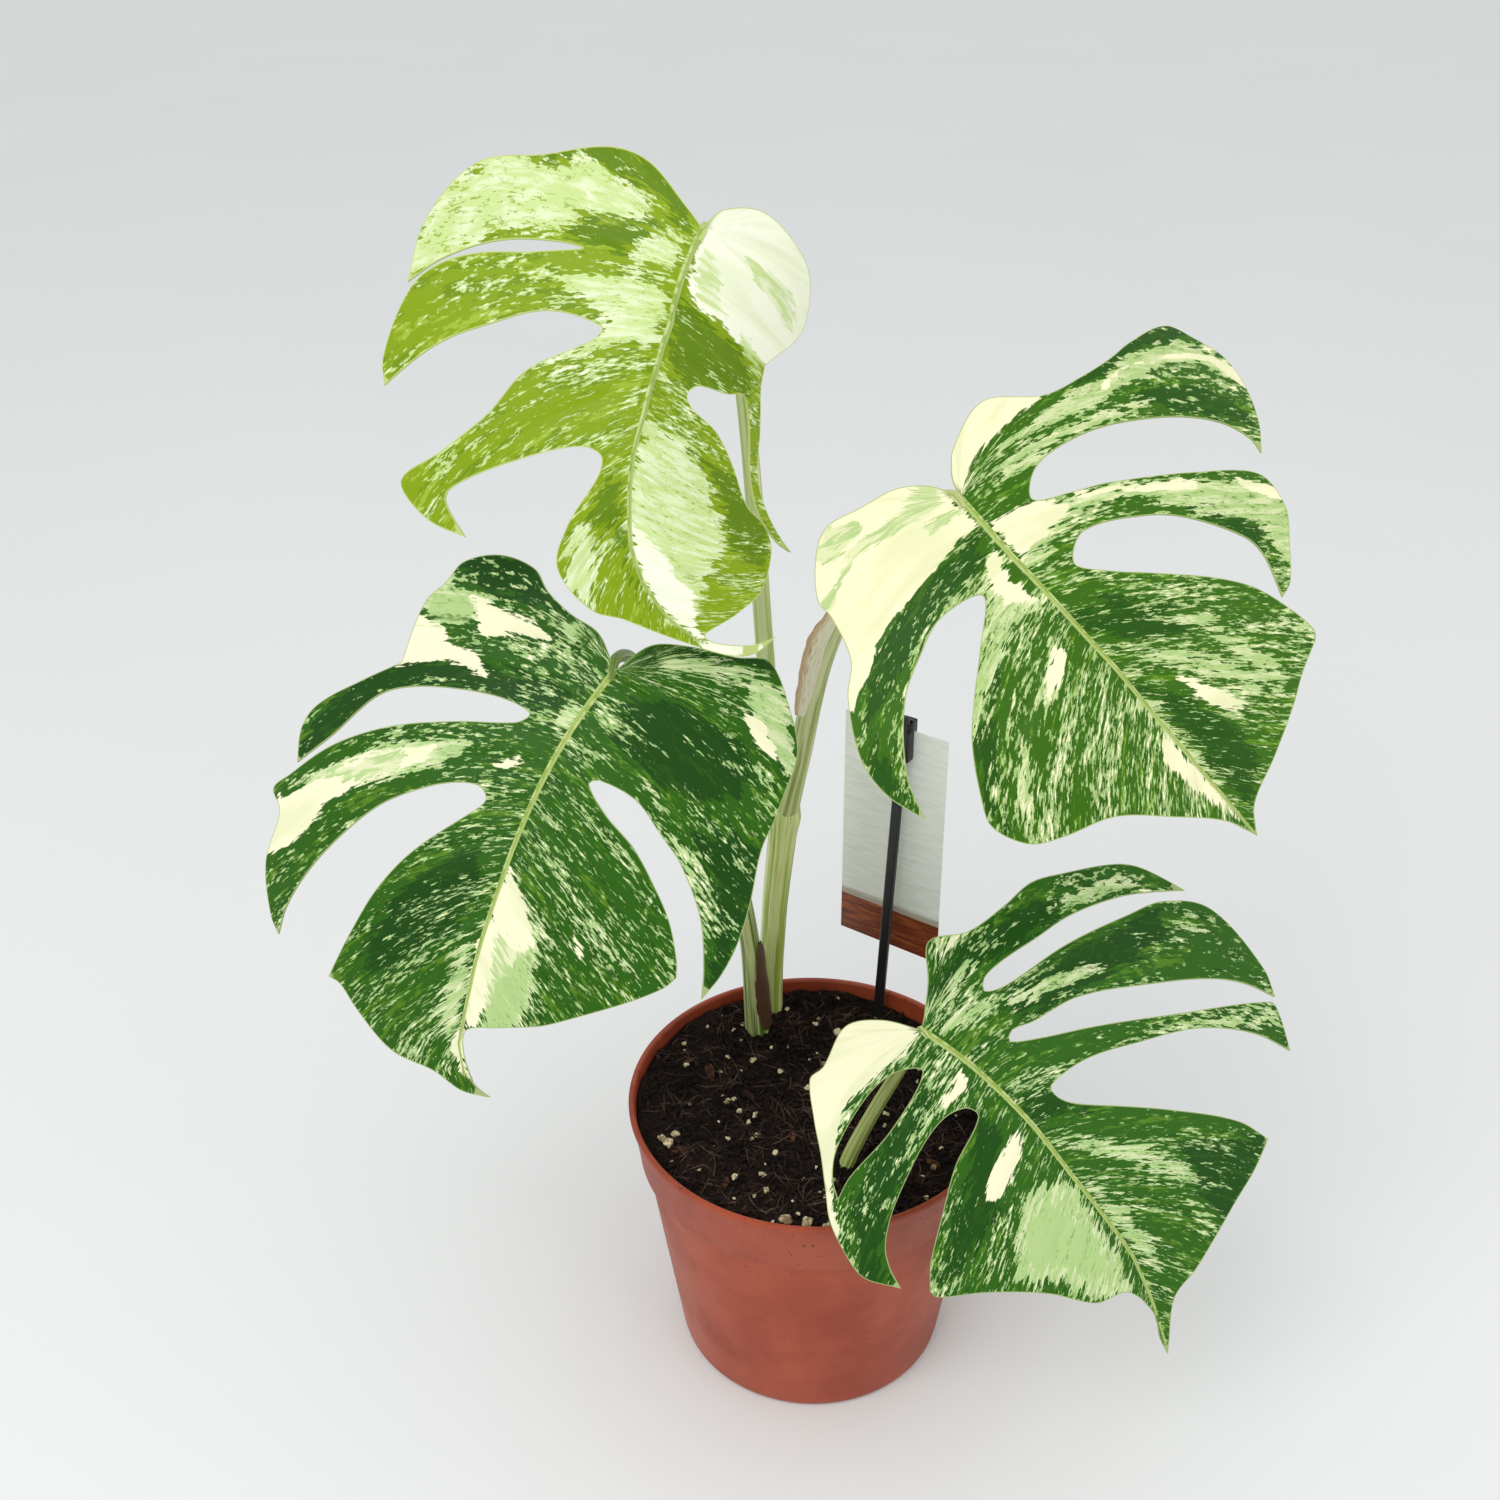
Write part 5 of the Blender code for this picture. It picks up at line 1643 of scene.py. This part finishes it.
class MONSTERA_OT_stage(bpy.types.Operator):
    """Lay the floor, and set the lamps and the camera"""

    bl_idname = "monstera.stage"
    bl_label = "Stage"

    def execute(self, context):
        settings = context.scene.monstera_stage
        deselect_all()
        bpy.ops.mesh.primitive_plane_add(size=14.0, location=(0.0, 0.0, 0.0))
        floor = bpy.context.active_object
        floor.name = "studio_floor"
        made, tree, shader = new_material("matt_studio_paper")
        place = add_node(tree, "ShaderNodeTexCoord").outputs["Object"]
        tooth = add_node(
            tree, "ShaderNodeTexNoise", {}, {"Vector": place, "Scale": 3.0, "Detail": 3.0},
        ).outputs["Fac"]
        tone = tuple(settings.floor_colour)
        colour = blend_colour(
            tree, tooth, (*(value * 0.98 for value in tone), 1.0),
            (*(min(value * 1.02, 1.0) for value in tone), 1.0),
        )
        tree.links.new(colour, shader.inputs["Base Color"])
        shader.inputs["Roughness"].default_value = 0.8
        floor.data.materials.append(made)

        world = bpy.data.worlds.new("soft_studio")
        world.use_nodes = True
        sky = world.node_tree.nodes["Background"]
        sky.inputs["Color"].default_value = (0.985, 0.99, 1.0, 1.0)
        sky.inputs["Strength"].default_value = 0.85
        context.scene.world = world
        context.scene.view_settings.view_transform = "Standard"
        for name, place, size, power in (
            ("window_lamp", (-0.9, -1.1, 1.7), 1.2, settings.light),
            ("fill_lamp", (1.3, -0.7, 1.1), 1.6, settings.light * 0.35),
        ):
            lamp = bpy.data.lights.new(name, "AREA")
            lamp.energy = power
            lamp.size = size
            item = bpy.data.objects.new(name, lamp)
            item.location = place
            item.rotation_euler = (
                Vector((0.0, 0.0, 0.25)) - Vector(place)
            ).to_track_quat("-Z", "Y").to_euler()
            context.scene.collection.objects.link(item)

        lens = bpy.data.cameras.new("studio_camera")
        lens.lens = CAMERA_LENS
        lens.sensor_width = 36.0
        lens.clip_start = 0.01
        lens.clip_end = 50.0
        camera = bpy.data.objects.new("studio_camera", lens)
        ahead = Vector((0.0, math.cos(CAMERA_PITCH), -math.sin(CAMERA_PITCH)))
        right = Vector((1.0, 0.0, 0.0))
        down = ahead.cross(right)
        image_right = right * math.cos(CAMERA_ROLL) + down * math.sin(CAMERA_ROLL)
        image_down = down * math.cos(CAMERA_ROLL) - right * math.sin(CAMERA_ROLL)
        camera.matrix_world = Matrix.Translation(Vector(CAMERA_PLACE) * MM) @ Matrix(
            (image_right, -image_down, -ahead)
        ).transposed().to_4x4()
        context.scene.collection.objects.link(camera)
        context.scene.camera = camera
        return {"FINISHED"}


class MONSTERA_PT_panel(bpy.types.Panel):
    """Lists the plant's pieces"""

    bl_idname = "MONSTERA_PT_panel"
    bl_label = "Monstera"
    bl_space_type = "VIEW_3D"
    bl_region_type = "UI"
    bl_category = "Monstera"

    def draw(self, context):
        scene = context.scene
        for owner, names in (
            (scene.monstera_pot, ("steps", "drains", "colour", "soil_level", "perlite", "fibres")),
            (scene.monstera_leaves, ("spacing", "thickness")),
            (scene.monstera_stage, ("floor_colour", "light")),
        ):
            box = self.layout.box()
            for name in names:
                box.prop(owner, name)
        for operator in OPERATORS:
            self.layout.operator(operator.bl_idname)


GROUPS = {"monstera_pot": PotSettings, "monstera_leaves": LeafSettings, "monstera_stage": StageSettings}
OPERATORS = (
    MONSTERA_OT_pot, MONSTERA_OT_soil, MONSTERA_OT_stems, MONSTERA_OT_sheaths, MONSTERA_OT_leaves,
    MONSTERA_OT_label,
    MONSTERA_OT_stage,
)


def register():
    for made in (*GROUPS.values(), *OPERATORS, MONSTERA_PT_panel):
        bpy.utils.register_class(made)
    for name, group in GROUPS.items():
        setattr(bpy.types.Scene, name, PointerProperty(type=group))


def unregister():
    for name in GROUPS:
        delattr(bpy.types.Scene, name)
    for made in reversed((*GROUPS.values(), *OPERATORS, MONSTERA_PT_panel)):
        bpy.utils.unregister_class(made)


def main():
    register()
    bpy.ops.monstera.pot()
    bpy.ops.monstera.soil()
    bpy.ops.monstera.stems()
    bpy.ops.monstera.sheaths()
    bpy.ops.monstera.leaves()
    bpy.ops.monstera.label()
    bpy.ops.monstera.stage()
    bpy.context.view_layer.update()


if __name__ == "__main__":
    main()
